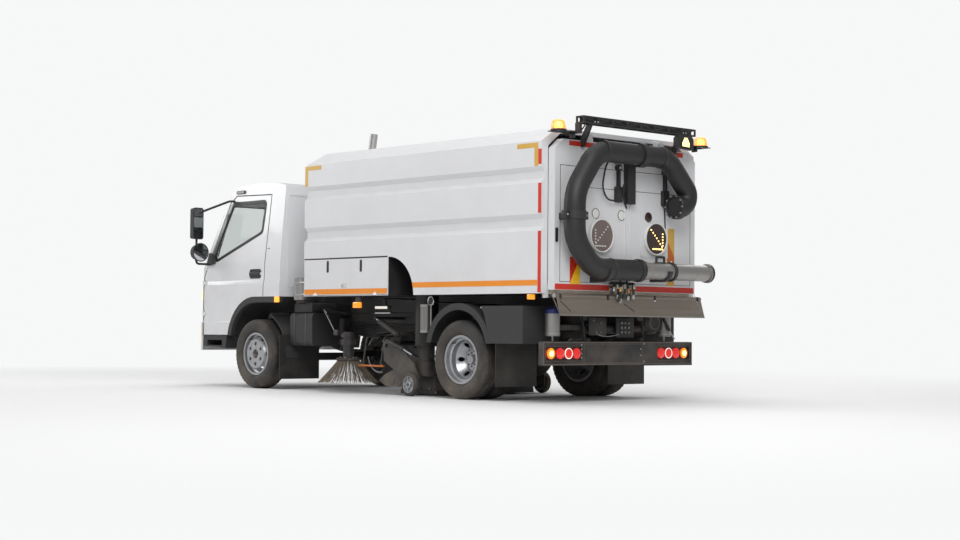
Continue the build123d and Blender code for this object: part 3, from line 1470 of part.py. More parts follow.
for side, sign in (("left", 1), ("right", -1)):
    with BuildPart() as castor:
        with BuildSketch(face_plane(sign, castor_x, castor_y, castor_radius)):
            Circle(castor_radius)
        extrude(amount=castor_width / 2, both=True)
        fillet(castor.edges().filter_by(GeomType.CIRCLE), radius=14)
        with BuildSketch(face_plane(sign, castor_x, castor_y, castor_radius)):
            Circle(15 + pin_gap)
        extrude(amount=castor_width, both=True, mode=Mode.SUBTRACT)
    save(castor, f"castor_{side}")

# Suction hoses: ribbed sleeves over the necks, clamped to the rails
with BuildPart() as suction_hoses:
    for sign in (1, -1):
        with BuildSketch(Plane.XY.offset(hose_bottom)):
            with Locations((hose_x, sign * hose_y)):
                Circle(hose_radius - 6)
        extrude(amount=hose_top - hose_bottom)
        for number in range(hose_ribs):
            with BuildSketch(Plane.XY.offset(hose_bottom + 10 + number * hose_rib_pitch)):
                with Locations((hose_x, sign * hose_y)):
                    Circle(hose_radius)
            extrude(amount=hose_rib_pitch / 2)
        with BuildSketch(Plane.XY.offset(hose_bottom + 200)):
            with Locations((hose_x, sign * (frame_half_width + seat_gap + hose_y) / 2)):
                Rectangle(60, hose_y - frame_half_width - seat_gap)
        extrude(amount=40)
        with BuildSketch(Plane.XY.offset(hose_bottom)):
            with Locations((hose_x, sign * hose_y)):
                Circle(hose_bore)
        extrude(amount=hose_top - hose_bottom, mode=Mode.SUBTRACT)
save(suction_hoses, "suction_hoses")

# Side brushes and their swing arms
for side, sign in (("left", 1), ("right", -1)):
    with BuildPart() as brush_arm:
        with BuildSketch(Plane.XY.offset(swing_z)):
            with Locations((swing_x, sign * swing_y)):
                Circle(48)
            outline([(swing_x - 10, sign * (swing_y - 40)), (swing_x + 10, sign * (swing_y + 45)),
                     (brush_x + 20, sign * (brush_y + 50)), (brush_x - 20, sign * (brush_y - 50))])
            with Locations((brush_x, sign * brush_y)):
                Circle(75)
            with Locations((swing_x, sign * swing_y)):
                Circle(swing_pin_radius + pin_gap, mode=Mode.SUBTRACT)
        extrude(amount=60)
        with BuildSketch(Plane.XY.offset(brush_plate_z + 30)):
            with Locations((brush_x, sign * brush_y)):
                Circle(58)
        extrude(amount=swing_z - brush_plate_z - 30)
        with BuildSketch(Plane.XY.offset(swing_z + 58)):
            with Locations((brush_x, sign * brush_y)):
                Circle(brush_motor_radius)
        extrude(amount=brush_motor_height)
        with BuildSketch(Plane.XY.offset(swing_z + 78)):
            with Locations((brush_x + brush_motor_radius, sign * brush_y)):
                RectangleRounded(70, 64, 8)
        extrude(amount=44)
    save(brush_arm, f"brush_arm_{side}")

    with BuildPart() as side_brush:
        with BuildSketch(Plane(origin=(brush_x, sign * brush_y, 0), x_dir=(1, 0, 0), z_dir=(0, -1, 0))):
            outline([(0, brush_plate_z), (0, brush_plate_z + 30 - pin_gap), (40, brush_plate_z + 30 - pin_gap),
                     (40, brush_plate_z + 18), (brush_plate_radius, brush_plate_z + 18),
                     (brush_plate_radius + 12, brush_plate_z)])
        revolve(axis=Axis((brush_x, sign * brush_y, 0), (0, 0, 1)))
        reach = brush_foot_radius - tuft_foot - tuft_circle
        drop = brush_plate_z + tuft_root - brush_bottom
        length = math.hypot(reach, drop)
        for number in range(tuft_count):
            turn = 2 * math.pi * number / tuft_count
            root = (brush_x + tuft_circle * math.cos(turn), sign * brush_y + tuft_circle * math.sin(turn),
                    brush_plate_z + tuft_root)
            lean = (reach * math.cos(turn), reach * math.sin(turn), -drop)
            with BuildSketch(Plane(origin=root, z_dir=lean)):
                Circle(tuft_radius)
            extrude(amount=length + 2 * tuft_foot, taper=-tuft_spread)
        split(bisect_by=Plane.XY.offset(brush_bottom), keep=Keep.TOP)
    save(side_brush, f"side_brush_{side}")
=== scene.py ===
import json
import math

import bmesh
import bpy
from mathutils import Matrix, Vector


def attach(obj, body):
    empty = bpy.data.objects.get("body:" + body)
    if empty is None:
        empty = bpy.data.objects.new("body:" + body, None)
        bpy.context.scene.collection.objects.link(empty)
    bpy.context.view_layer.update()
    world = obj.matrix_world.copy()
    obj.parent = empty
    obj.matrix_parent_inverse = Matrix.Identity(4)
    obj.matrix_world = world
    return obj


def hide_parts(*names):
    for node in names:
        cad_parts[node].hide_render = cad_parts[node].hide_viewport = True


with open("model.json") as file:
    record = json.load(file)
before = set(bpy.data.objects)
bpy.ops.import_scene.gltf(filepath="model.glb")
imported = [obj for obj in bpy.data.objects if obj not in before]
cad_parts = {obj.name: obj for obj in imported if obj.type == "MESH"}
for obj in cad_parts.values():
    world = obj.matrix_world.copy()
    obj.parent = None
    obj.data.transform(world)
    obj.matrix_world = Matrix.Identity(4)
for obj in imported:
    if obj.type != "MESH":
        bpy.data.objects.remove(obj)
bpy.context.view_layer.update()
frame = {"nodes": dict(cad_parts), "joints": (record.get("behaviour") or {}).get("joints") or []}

bl_info = {
    "name": "Street sweeper truck",
    "version": (1, 0, 0),
    "blender": (4, 5, 0),
    "location": "View3D > Sidebar > Sweeper",
    "description": "Finishes, trim, lamps and stripes of a street sweeper truck, around its fixed frame",
    "category": "Object",
}

nodes = frame["nodes"]
joint_at = {joint["name"]: Vector(joint["pos_m"]) for joint in frame["joints"]}
sides = (("left", 1), ("right", -1))

# Reference lengths in metres; x is measured forward of the rear axle
rear_axle = joint_at["rear_spin_left"].x
front_axle = joint_at["steering_left"].x - rear_axle
tyre_radius = joint_at["rear_spin_left"].z
front_wheel_y = 0.892
rear_wheel_y = 0.81
twin_half = 0.122
rail_side = 0.43
arch_centre = (3.5, 0.5)
arch_radius = 0.52
screen_foot = (4.58, 1.24)
screen_lean = 0.45 / 0.88
hopper_side = 1.068
door_face = -1.231
lamp_side = 0.382
hose_x = -1.393
hose_side = 0.885
hose_top = 2.34
coupling_z = 1.876
nozzle_z = 1.245
bumper_face = -1.149
castor_centre = (0.851, 0.93, 0.118)
brush_centre = (1.98, 0.83, 0.335)

# Ways along the truck
forward, backward, leftward, upward = (1, 0, 0), (-1, 0, 0), (0, 1, 0), (0, 0, 1)


def colour_property(name, text, value):
    return bpy.props.FloatVectorProperty(name=name, description=text, default=(*value, 1.0), size=4,
                                         min=0.0, max=1.0, subtype="COLOR")


def length_property(name, text, value):
    return bpy.props.FloatProperty(name=name, description=text, default=value, min=0.0, unit="LENGTH")


class SweeperColours(bpy.types.PropertyGroup):
    """Colours of the truck's finishes."""

    white: colour_property("White paint", "Cab, hopper and doors", (0.7, 0.705, 0.72))
    chassis: colour_property("Chassis paint", "Frame, axles and brackets", (0.018, 0.018, 0.02))
    plastic: colour_property("Black plastic", "Trim, steps and arches", (0.02, 0.02, 0.021))
    rubber: colour_property("Rubber", "Hoses, seals and mudflaps", (0.014, 0.014, 0.015))
    tyre: colour_property("Tyre", "Tyre rubber", (0.022, 0.021, 0.021))
    rim: colour_property("Rim", "Painted steel wheels", (0.42, 0.43, 0.45))
    steel: colour_property("Bare steel", "Chute, rods and clamps", (0.36, 0.35, 0.335))
    alloy: colour_property("Aluminium", "Nozzle tube and tanks", (0.36, 0.35, 0.34))
    stripe: colour_property("Stripe", "Orange stripes along the sides", (0.8, 0.26, 0.015))
    gold: colour_property("Corner marker", "Yellow reflective tape", (0.62, 0.37, 0.07))
    red: colour_property("Red marker", "Red reflective tape", (0.6, 0.03, 0.012))
    amber: colour_property("Amber lens", "Beacons and turn lamps", (0.95, 0.3, 0.01))
    red_lens: colour_property("Red lens", "Tail lamps", (0.7, 0.012, 0.008))
    seat: colour_property("Seat cloth", "Seats and lining", (0.055, 0.058, 0.065))
    bristle: colour_property("Bristles", "Brush wire", (0.2, 0.17, 0.13))
    floor: colour_property("Floor", "Studio floor", (0.78, 0.78, 0.78))
    backdrop: colour_property("Backdrop", "What is seen behind the truck", (0.93, 0.935, 0.94))


class SweeperSizes(bpy.types.PropertyGroup):
    """Sizes of the trim that is added around the frame."""

    tape_skin: length_property("Tape thickness", "How far tapes stand off the paint", 0.0015)
    edge_round: length_property("Edge rounding", "Softened panel edges", 0.006)
    tread_depth: length_property("Tread depth", "Depth of the tyre grooves", 0.009)
    wire_radius: length_property("Wire radius", "Thickness of a brush wire", 0.0024)


def colours():
    return bpy.context.scene.sweeper_colours


def sizes():
    return bpy.context.scene.sweeper_sizes


# Shader node groups

def new_group(name, inputs, outputs):
    """A shader node group with its input and output nodes; sockets as (name, kind, default)."""
    group = bpy.data.node_groups.new(name, "ShaderNodeTree")
    for title, kind, default in inputs:
        socket = group.interface.new_socket(name=title, in_out="INPUT", socket_type=kind)
        socket.default_value = default
    for title, kind in outputs:
        group.interface.new_socket(name=title, in_out="OUTPUT", socket_type=kind)
    return group, group.nodes.new("NodeGroupInput"), group.nodes.new("NodeGroupOutput")


def add_node(tree, kind, links=(), **values):
    """Adds a node, sets its own values, and gives its inputs the sockets or values listed."""
    node = tree.nodes.new(kind)
    for key, value in values.items():
        setattr(node, key, value)
    for key, value in links:
        if isinstance(value, bpy.types.NodeSocket):
            tree.links.new(value, node.inputs[key])
        else:
            node.inputs[key].default_value = value
    return node


def mix_colour(tree, share, first, second):
    """Two colours mixed by a share from 0 to 1."""
    mix = add_node(tree, "ShaderNodeMix", [(0, share), (6, first), (7, second)], data_type="RGBA")
    return mix.outputs[2]


def calculate(tree, operation, first, second, **values):
    """Two values brought together by a named operation."""
    node = add_node(tree, "ShaderNodeMath", [(0, first), (1, second)], operation=operation, **values)
    return node.outputs[0]


def ramp(tree, value, start=0.0, end=1.0, low=0.0, high=1.0, **values):
    """The value carried from the range start..end to the range low..high."""
    return add_node(tree, "ShaderNodeMapRange",
                    [("Value", value), ("From Min", start), ("From Max", end), ("To Min", low),
                     ("To Max", high)], **values).outputs[0]


def dust_group():
    """Dust that thins out with height and lies in cloudy patches."""
    group, given, out = new_group(
        "road_dust",
        [("Top", "NodeSocketFloat", 1.2), ("Amount", "NodeSocketFloat", 0.5),
         ("Scale", "NodeSocketFloat", 3.0)],
        [("Mask", "NodeSocketFloat")])
    place = add_node(group, "ShaderNodeTexCoord")
    height = add_node(group, "ShaderNodeSeparateXYZ", [(0, place.outputs["Object"])])
    fade = ramp(group, height.outputs["Z"], 0.0, given.outputs["Top"], 1.0, 0.12)
    cloud = add_node(group, "ShaderNodeTexNoise",
                     [("Vector", place.outputs["Object"]), ("Scale", given.outputs["Scale"]),
                      ("Detail", 6.0), ("Roughness", 0.62)])
    patch = ramp(group, cloud.outputs["Fac"], 0.38, 0.72)
    spread = calculate(group, "MULTIPLY", fade, patch)
    scaled = calculate(group, "MULTIPLY", spread, given.outputs["Amount"], use_clamp=True)
    group.links.new(scaled, out.inputs["Mask"])
    return group


def grain_group():
    """Fine grain of a moulded or sprayed skin, as a height and a soft value."""
    group, given, out = new_group(
        "fine_grain",
        [("Scale", "NodeSocketFloat", 120.0), ("Stretch", "NodeSocketVector", (1.0, 1.0, 1.0))],
        [("Height", "NodeSocketFloat"), ("Value", "NodeSocketFloat")])
    place = add_node(group, "ShaderNodeTexCoord")
    stretched = add_node(group, "ShaderNodeVectorMath",
                         [(0, place.outputs["Object"]), (1, given.outputs["Stretch"])],
                         operation="MULTIPLY")
    fine = add_node(group, "ShaderNodeTexNoise",
                    [("Vector", stretched.outputs[0]), ("Scale", given.outputs["Scale"]), ("Detail", 3.0)])
    broad = add_node(group, "ShaderNodeTexNoise",
                     [("Vector", stretched.outputs[0]), ("Scale", 4.0), ("Detail", 4.0)])
    group.links.new(fine.outputs["Fac"], out.inputs["Height"])
    group.links.new(broad.outputs["Fac"], out.inputs["Value"])
    return group


def placed_group(tree, name, maker, values):
    """The shared group, made at its first use and placed in a material with the values given."""
    group = bpy.data.node_groups.get(name) or maker()
    return add_node(tree, "ShaderNodeGroup", values, node_tree=group)


def grain_node(tree, scale, stretch=(1.0, 1.0, 1.0)):
    return placed_group(tree, "fine_grain", grain_group, [("Scale", scale), ("Stretch", stretch)])


# Finishes: name -> (colour property or colour, other settings)
finish_table = {
    "white_paint": ("white", dict(rough=0.3, dust=0.3, dust_top=1.6, grain=260, bump=0.015, coat=0.5,
                                  shade=0.03, rough_spread=0.06)),
    "chassis_paint": ("chassis", dict(dust=0.55, dust_top=1.2, grain=90, bump=0.15)),
    "black_plastic": ("plastic", dict(rough=0.55, dust=0.3, grain=420, bump=0.25)),
    "black_gloss": ("plastic", dict(rough=0.2, grain=300, coat=0.5)),
    "black_rubber": ("rubber", dict(rough=0.5, dust=0.25, dust_top=1.5, grain=160, bump=0.12)),
    "tyre_rubber": ("tyre", dict(rough=0.72, dust=0.6, dust_top=1.0, grain=140, bump=0.2)),
    "rim_paint": ("rim", dict(rough=0.3, metal=0.7, dust=0.35, dust_top=1.0, grain=200, bump=0.04,
                              shade=0.1)),
    "bare_steel": ("steel", dict(rough=0.42, metal=0.85, dust=0.35, dust_top=1.3, grain=60, bump=0.1,
                                 stretch=(1.0, 6.0, 1.0), shade=0.22)),
    "worn_steel": ((0.27, 0.235, 0.2), dict(rough=0.42, metal=0.7, dust=0.5, dust_top=1.4, grain=50,
                                            bump=0.15, stretch=(1.0, 0.3, 5.0), shade=0.3)),
    "alloy_tube": ("alloy", dict(rough=0.42, metal=0.85, dust=0.3, grain=40, bump=0.06,
                                 stretch=(14.0, 1.0, 14.0))),
    "chrome": ((0.7, 0.71, 0.72), dict(rough=0.08, metal=1.0, grain=90, shade=0.04, rough_spread=0.04)),
    "mirror_glass": ((0.8, 0.82, 0.84), dict(rough=0.03, metal=1.0, grain=20, bump=0.0, shade=0.02,
                                             rough_spread=0.01)),
    "brass": ((0.5, 0.3, 0.1), dict(rough=0.35, metal=0.9, dust=0.3, grain=90, bump=0.1, shade=0.2)),
    "orange_tape": ("stripe", dict(rough=0.35, grain=300, bump=0.05, shade=0.05)),
    "gold_tape": ("gold", dict(rough=0.3, grain=500, bump=0.2, shade=0.1)),
    "red_tape": ("red", dict(rough=0.3, grain=500, bump=0.2, shade=0.08)),
    "yellow_tape": ((0.85, 0.5, 0.02), dict(rough=0.3, grain=500, bump=0.2, shade=0.06)),
    "dark_orange_tape": ((0.5, 0.13, 0.01), dict(rough=0.3, grain=500, bump=0.2, shade=0.06)),
    "pale_plate": ((0.72, 0.72, 0.7), dict(rough=0.4, grain=300, bump=0.1, shade=0.05)),
    "cream_paint": ((0.62, 0.56, 0.45), dict(rough=0.35, dust=0.4, grain=200, bump=0.05, shade=0.08,
                                             coat=0.2)),
    "amber_lens": ("amber", dict(rough=0.12, grain=80, bump=0.3, shade=0.1, glow=0.55, coat=0.6)),
    "beacon_lens": ("amber", dict(rough=0.1, grain=40, bump=0.3, glow=0.9, coat=0.6, alpha=0.62)),
    "lit_amber": ((1.0, 0.62, 0.2), dict(rough=0.3, grain=60, shade=0.05, glow=3.2)),
    "lit_yellow": ((1.0, 0.82, 0.3), dict(rough=0.3, grain=60, shade=0.05, glow=1.6)),
    "red_lens": ("red_lens", dict(rough=0.14, grain=80, bump=0.3, shade=0.15, glow=0.4, coat=0.6)),
    "clear_lens": ((0.75, 0.77, 0.78), dict(rough=0.08, metal=0.35, grain=60, bump=0.35, shade=0.15,
                                            coat=0.8)),
    "lit_white": ((0.9, 0.86, 0.78), dict(rough=0.2, grain=60, bump=0.1, shade=0.04, glow=0.4)),
    "headlamp_lit": ((0.93, 0.87, 0.7), dict(rough=0.12, metal=0.2, grain=60, bump=0.3, shade=0.12, glow=0.4,
                                             coat=0.8)),
    "corner_lamp": ((0.85, 0.66, 0.32), dict(rough=0.18, grain=80, bump=0.25, shade=0.1, glow=0.5,
                                             coat=0.6)),
    "marker_lit": ((1.0, 0.33, 0.03), dict(rough=0.25, grain=80, bump=0.2, shade=0.06, glow=1.3)),
    "lamp_face": ((0.16, 0.12, 0.11), dict(rough=0.35, grain=240, bump=0.3, shade=0.15, coat=0.3)),
    "dark_face": ((0.035, 0.018, 0.014), dict(rough=0.25, grain=240, bump=0.2, coat=0.4)),
    "seat_cloth": ("seat", dict(rough=0.85, grain=520, bump=0.5, shade=0.2, sheen=0.2)),
    "bristle_wire": ("bristle", dict(rough=0.6, metal=0.3, dust=0.3, dust_top=0.6, grain=200, bump=0.2,
                                     shade=0.35)),
    "cast_iron": ((0.06, 0.058, 0.055), dict(rough=0.7, metal=0.4, dust=0.6, dust_top=1.2, grain=70,
                                             bump=0.4)),
    "blue_plastic": ((0.02, 0.025, 0.13), dict(rough=0.35, grain=200, bump=0.05)),
    # The bumper's raised edges and the drum's ring, lighter as a painted highlight.
    "bumper_edge": ((0.1, 0.085, 0.075), dict(rough=0.4, grain=120, bump=0.1, dust=0.3)),
}


def finish(name):
    """The material of that name, made at its first use."""
    found = bpy.data.materials.get(name)
    if found:
        return found
    made = bpy.data.materials.new(name)
    made.use_nodes = True
    if name == "window_glass":
        build_glass(made.node_tree)
        return made
    colour, settings = finish_table[name]
    if isinstance(colour, str):
        colour = getattr(colours(), colour)
    build_finish(made.node_tree, colour, **settings)
    return made


dust_colour = (0.23, 0.19, 0.15, 1.0)
dust_rough = 0.85


def build_finish(tree, colour, rough=0.5, metal=0.0, dust=0.0, dust_top=1.4, grain=120.0, bump=0.02,
                 coat=0.0, stretch=(1.0, 1.0, 1.0), shade=0.12, glow=0.0, alpha=1.0, rough_spread=0.12,
                 sheen=0.0):
    """A finish with grain, soft colour variation and road dust that settles low down."""
    shader = tree.nodes["Principled BSDF"]
    for key, value in (("Metallic", metal), ("Coat Weight", coat), ("Coat Roughness", 0.08),
                       ("Alpha", alpha), ("Sheen Weight", sheen), ("Emission Strength", glow)):
        shader.inputs[key].default_value = value
    grains = grain_node(tree, grain, stretch)
    dark = [c * (1.0 - shade) for c in colour[:3]] + [1.0]
    light = [min(1.0, c * (1.0 + shade)) for c in colour[:3]] + [1.0]
    tone = mix_colour(tree, grains.outputs["Value"], dark, light)
    roughness = ramp(tree, grains.outputs["Value"], low=max(0.02, rough - rough_spread),
                     high=min(1.0, rough + rough_spread))
    if dust > 0.0:
        dusty = placed_group(tree, "road_dust", dust_group, [("Amount", dust), ("Top", dust_top)])
        mask = dusty.outputs["Mask"]
        tone = mix_colour(tree, mask, tone, dust_colour)
        roughness = add_node(tree, "ShaderNodeMix", [(0, mask), (2, roughness), (3, dust_rough)]).outputs[0]
    tree.links.new(tone, shader.inputs["Base Color"])
    tree.links.new(roughness, shader.inputs["Roughness"])
    if glow > 0.0:
        tree.links.new(tone, shader.inputs["Emission Color"])
    if bump > 0.0:
        relief = add_node(tree, "ShaderNodeBump",
                          [("Strength", bump), ("Distance", 0.002), ("Height", grains.outputs["Height"])])
        tree.links.new(relief.outputs["Normal"], shader.inputs["Normal"])


def build_glass(tree):
    """Tinted glass that shows the seats behind it."""
    shader = tree.nodes["Principled BSDF"]
    value = grain_node(tree, 30.0).outputs["Value"]
    tint = mix_colour(tree, value, (0.74, 0.77, 0.76, 1.0), (0.78, 0.8, 0.79, 1.0))
    tree.links.new(tint, shader.inputs["Base Color"])
    tree.links.new(ramp(tree, value, high=0.04), shader.inputs["Roughness"])
    shader.inputs["Transmission Weight"].default_value = 1.0
    shader.inputs["IOR"].default_value = 1.1


# Mesh making; points are (forward of the rear axle, left, up)

def at(point):
    return Vector((point[0] + rear_axle, point[1], point[2]))


def circle(middle, radius, steps=32, start=0.0, turn=360.0):
    """Points on a circle in a plane, as (across, up)."""
    whole = abs(turn - 360.0) < 1e-6
    count = steps if whole else steps + 1
    angles = [math.radians(start + turn * number / steps) for number in range(count)]
    return [(middle[0] + radius * math.cos(angle), middle[1] + radius * math.sin(angle)) for angle in angles]


def oblong(start, end, low, high):
    """Corners of an upright rectangle in a plane."""
    return [(start, low), (start, high), (end, high), (end, low)]


def rounded(middle, size, radius, steps=5):
    """Points of a rounded rectangle in a plane."""
    points = []
    for number, (way, rise) in enumerate(((1, 1), (-1, 1), (-1, -1), (1, -1))):
        corner = (middle[0] + way * (size[0] / 2 - radius), middle[1] + rise * (size[1] / 2 - radius))
        points += circle(corner, radius, steps, 90.0 * number, 90.0)
    return points


def round_corners(points, radius, steps=6):
    """The closed outline with each corner turned into an arc."""
    line = []
    for n, here in enumerate(points):
        before, here, after = Vector(points[n - 1]), Vector(here), Vector(points[(n + 1) % len(points)])
        back, ahead = (before - here).normalized(), (after - here).normalized()
        half = back.angle(ahead) / 2
        centre = here + (back + ahead).normalized() * (radius / math.sin(half))
        start, end = (here + way * (radius / math.tan(half)) - centre for way in (back, ahead))
        turn = start.angle_signed(end)
        for step in range(steps + 1):
            spoke = start.copy()
            spoke.rotate(Matrix.Rotation(-turn * step / steps, 2))
            line.append((centre + spoke)[:])
    return line


def arc(first, middle, last, steps):
    """Points of the arc through three points of a plane, and its centre."""
    (ax, ay), (bx, by), (cx, cy) = first, middle, last
    scale = 2 * (ax * (by - cy) + bx * (cy - ay) + cx * (ay - by))
    a, b, c = ax**2 + ay**2, bx**2 + by**2, cx**2 + cy**2
    centre = Vector(((a * (by - cy) + b * (cy - ay) + c * (ay - by)) / scale,
                     (a * (cx - bx) + b * (ax - cx) + c * (bx - ax)) / scale))
    start, end = Vector(first) - centre, Vector(last) - centre
    turn = start.angle_signed(end)
    spokes = []
    for step in range(steps + 1):
        spoke = start.copy()
        spoke.rotate(Matrix.Rotation(-turn * step / steps, 2))
        spokes.append(spoke)
    return centre, spokes


def grow(points, amount):
    """The outline moved outwards by the amount, with mitred corners."""
    count = len(points)
    area = sum(points[n][0] * points[(n + 1) % count][1] - points[(n + 1) % count][0] * points[n][1]
               for n in range(count))
    way = 1.0 if area > 0 else -1.0
    moved = []
    for n in range(count):
        before, here, after = Vector(points[n - 1]), Vector(points[n]), Vector(points[(n + 1) % count])
        first, second = (here - before).normalized(), (after - here).normalized()
        normal_one, normal_two = Vector((first.y, -first.x)) * way, Vector((second.y, -second.x)) * way
        middle = normal_one + normal_two
        here = here + middle * (2.0 * amount / max(0.2, middle.length_squared))
        moved.append((here.x, here.y))
    return moved


def grow_line(points, amount):
    """The same open line moved sideways, in reverse order."""
    moved = []
    for n, here in enumerate(points):
        before, after = Vector(points[max(0, n - 1)]), Vector(points[min(len(points) - 1, n + 1)])
        ahead = (after - before).normalized()
        moved.append((here[0] + ahead.y * amount, here[1] - ahead.x * amount))
    return moved[::-1]


def both_ways(half):
    """A whole profile from its half, given as (along, radius) from the middle outwards."""
    return [(-along, radius) for along, radius in reversed(half) if along > 0.0] + half


def in_side(points, y):
    """Side-view points (forward, up) placed at y."""
    return [(a, y, b) for a, b in points]


def in_rear(points, x):
    """Rear-view points (left, up) placed at x."""
    return [(x, a, b) for a, b in points]


# Half widths of the cab as (height, half width), from the sill over the waistline to the roof
shell_profile = ((0.59, 0.985), (0.738, 0.985), (0.75, 0.981), (1.16, 0.981), (1.204, 0.971), (1.4, 0.971),
                 (2.301, 0.895))


def shell_side(z):
    """Half width of the cab at a height."""
    for (low, start), (high, end) in zip(shell_profile, shell_profile[1:]):
        if z <= high:
            return start + (end - start) * (z - low) / (high - low)
    return shell_profile[-1][1]


def on_cab(points, sign, out):
    """Side-view points laid on the cab's side above its waistline, moved out from it."""
    waist = shell_profile[-2][0]
    return [(a, sign * (shell_side(max(waist, b)) + out), b) for a, b in points]


def screen_x(z):
    """Where the windscreen's slope lies at a height."""
    return screen_foot[0] - screen_lean * (z - screen_foot[1])


def scatter(number):
    """An even spread of values from 0 to 1 that repeats for the same number."""
    return (math.sin(number * 12.9898) * 43758.5453) % 1.0


class Shape:
    """Collects simple solids into one mesh with several finishes."""

    def __init__(self, look):
        self.mesh = bmesh.new()
        self.looks = [look]
        self.look_now = 0

    def use(self, look):
        """The solids that follow take this finish."""
        if look not in self.looks:
            self.looks.append(look)
        self.look_now = self.looks.index(look)
        return self

    def keep(self, faces):
        for face in faces:
            face.material_index = self.look_now
            face.smooth = True

    def block(self, low, high, bevel=0.004, turn=None):
        """A box between two corners, with rounded edges; turn is a matrix about its centre."""
        low, high = at(low), at(high)
        size = high - low
        made = bmesh.ops.create_cube(self.mesh, size=1.0)["verts"]
        bmesh.ops.scale(self.mesh, vec=size, verts=made)
        edges = list({edge for vert in made for edge in vert.link_edges})
        result = bmesh.ops.bevel(self.mesh, geom=edges, offset=min(bevel, min(size) * 0.4), segments=2,
                                 affect="EDGES", profile=0.5)
        made = list({vert for face in result["faces"] for vert in face.verts}
                    | {vert for vert in made if vert.is_valid})
        if turn is not None:
            bmesh.ops.transform(self.mesh, matrix=turn.to_4x4(), verts=made)
        bmesh.ops.translate(self.mesh, vec=(low + high) / 2, verts=made)
        self.keep({face for vert in made for face in vert.link_faces})

    def slab(self, along, across, up, bevel=0.004):
        """A block from its ranges along and up, and its middle and half width across."""
        middle, half = across
        self.block((along[0], middle - half, up[0]), (along[1], middle + half, up[1]), bevel)

    def side_sheet(self, loop, y, depth):
        """A side-view loop at y, pushed across by the depth."""
        self.prism(in_side(loop, y), (0, depth, 0))

    def rear_sheet(self, loop, x, depth):
        """A rear-view loop at x, pushed along by the depth."""
        self.prism(in_rear(loop, x), (depth, 0, 0))

    def border(self, loop, out, inside, x, depth):
        """A flat frame along a rear-view loop, between two distances out from it."""
        self.frame(in_rear(grow(loop, out), x), in_rear(grow(loop, inside), x), (depth, 0, 0))

    def prism(self, loop, along):
        """A flat loop of points pushed out along a vector."""
        base = [self.mesh.verts.new(at(point)) for point in loop]
        top = [self.mesh.verts.new(vert.co + Vector(along)) for vert in base]
        faces = [self.mesh.faces.new(base), self.mesh.faces.new(reversed(top))]
        faces += self.walls(base, top)
        self.keep(faces)

    def walls(self, base, top):
        count = len(base)
        return [self.mesh.faces.new((base[n], top[n], top[(n + 1) % count], base[(n + 1) % count]))
                for n in range(count)]

    def frame(self, outer, inner, along):
        """A flat frame between two loops with the same number of points, pushed out along a vector."""
        rings = self.four_edges(outer, inner, along)
        faces = []
        for first, second in zip(rings, rings[1:] + rings[:1]):
            faces += self.walls(first, second)
        self.keep(faces)

    def four_edges(self, outer, inner, along):
        """The two lines and their copies pushed out along the vector, in order round the section."""
        lines = [[self.mesh.verts.new(at(point)) for point in line] for line in (outer, inner)]
        for line in reversed(lines[:]):
            lines.append([self.mesh.verts.new(vert.co + Vector(along)) for vert in line])
        return lines

    def ribbon(self, outer, inner, along):
        """A flat strip between two open lines of as many points, pushed out along a vector."""
        lines = self.four_edges(outer, inner, along)
        faces = [self.mesh.faces.new([line[end] for line in lines]) for end in (0, -1)]
        for first, second in zip(lines, lines[1:] + lines[:1]):
            faces += [self.mesh.faces.new((first[n], second[n], second[n + 1], first[n + 1]))
                      for n in range(len(first) - 1)]
        self.keep(faces)

    def lathe(self, profile, centre, axis, steps=32, cut=None, closed=False):
        """Turns (along, radius) pairs about an axis; cut gives the depth taken off a point at a step."""
        axis = Vector(axis).normalized()
        across = axis.orthogonal().normalized()
        beside = axis.cross(across)
        middle = at(centre)
        rings = []
        for along, radius in profile:
            if radius < 1e-6:
                rings.append([self.mesh.verts.new(middle + axis * along)])
                continue
            ring = []
            for step in range(steps):
                angle = 2 * math.pi * step / steps
                reach = radius - (cut(along, radius, step) if cut else 0.0)
                ring.append(self.mesh.verts.new(
                    middle + axis * along + reach * (across * math.cos(angle) + beside * math.sin(angle))))
            rings.append(ring)
        pairs = list(zip(rings, rings[1:]))
        if closed:
            pairs.append((rings[-1], rings[0]))
        faces = []
        for first, second in pairs:
            for step in range(steps):
                after = (step + 1) % steps
                corners = [ring[place % len(ring)] for ring, place in ((first, step), (first, after),
                                                                       (second, after), (second, step))]
                unique = list(dict.fromkeys(corners))
                if len(unique) > 2:
                    faces.append(self.mesh.faces.new(unique))
        self.keep(faces)

    def rod(self, start, end, radius, steps=16):
        """A round bar between two points, with its ends just broken."""
        start, end = Vector(start), Vector(end)
        length = (end - start).length
        lip = min(radius, length) * 0.15
        self.lathe([(0, 0), (0, radius - lip), (lip, radius), (length - lip, radius),
                    (length, radius - lip), (length, 0)], start, end - start, steps)

    def ring(self, centre, axis, outer, inner, depth, steps=40):
        """A ring with broken edges that starts at its centre and goes the depth along its axis."""
        lip = min(depth, outer - inner) * 0.25
        self.lathe([(0, inner + lip), (0, outer - lip), (lip, outer), (depth - lip, outer),
                    (depth, outer - lip), (depth, inner + lip), (depth - lip, inner), (lip, inner)],
                   centre, axis, steps, closed=True)

    def bolts(self, places, axis, radius, height):
        """Hexagon heads, each with a stud end."""
        axis = Vector(axis)
        for place in places:
            self.lathe([(0, 0), (0, radius), (height * 0.8, radius), (height, radius * 0.85), (height, 0)],
                       place, axis, 6)
            self.lathe([(height, radius * 0.5), (height * 1.35, radius * 0.5), (height * 1.45, radius * 0.4),
                        (height * 1.45, 0)], place, axis, 10)

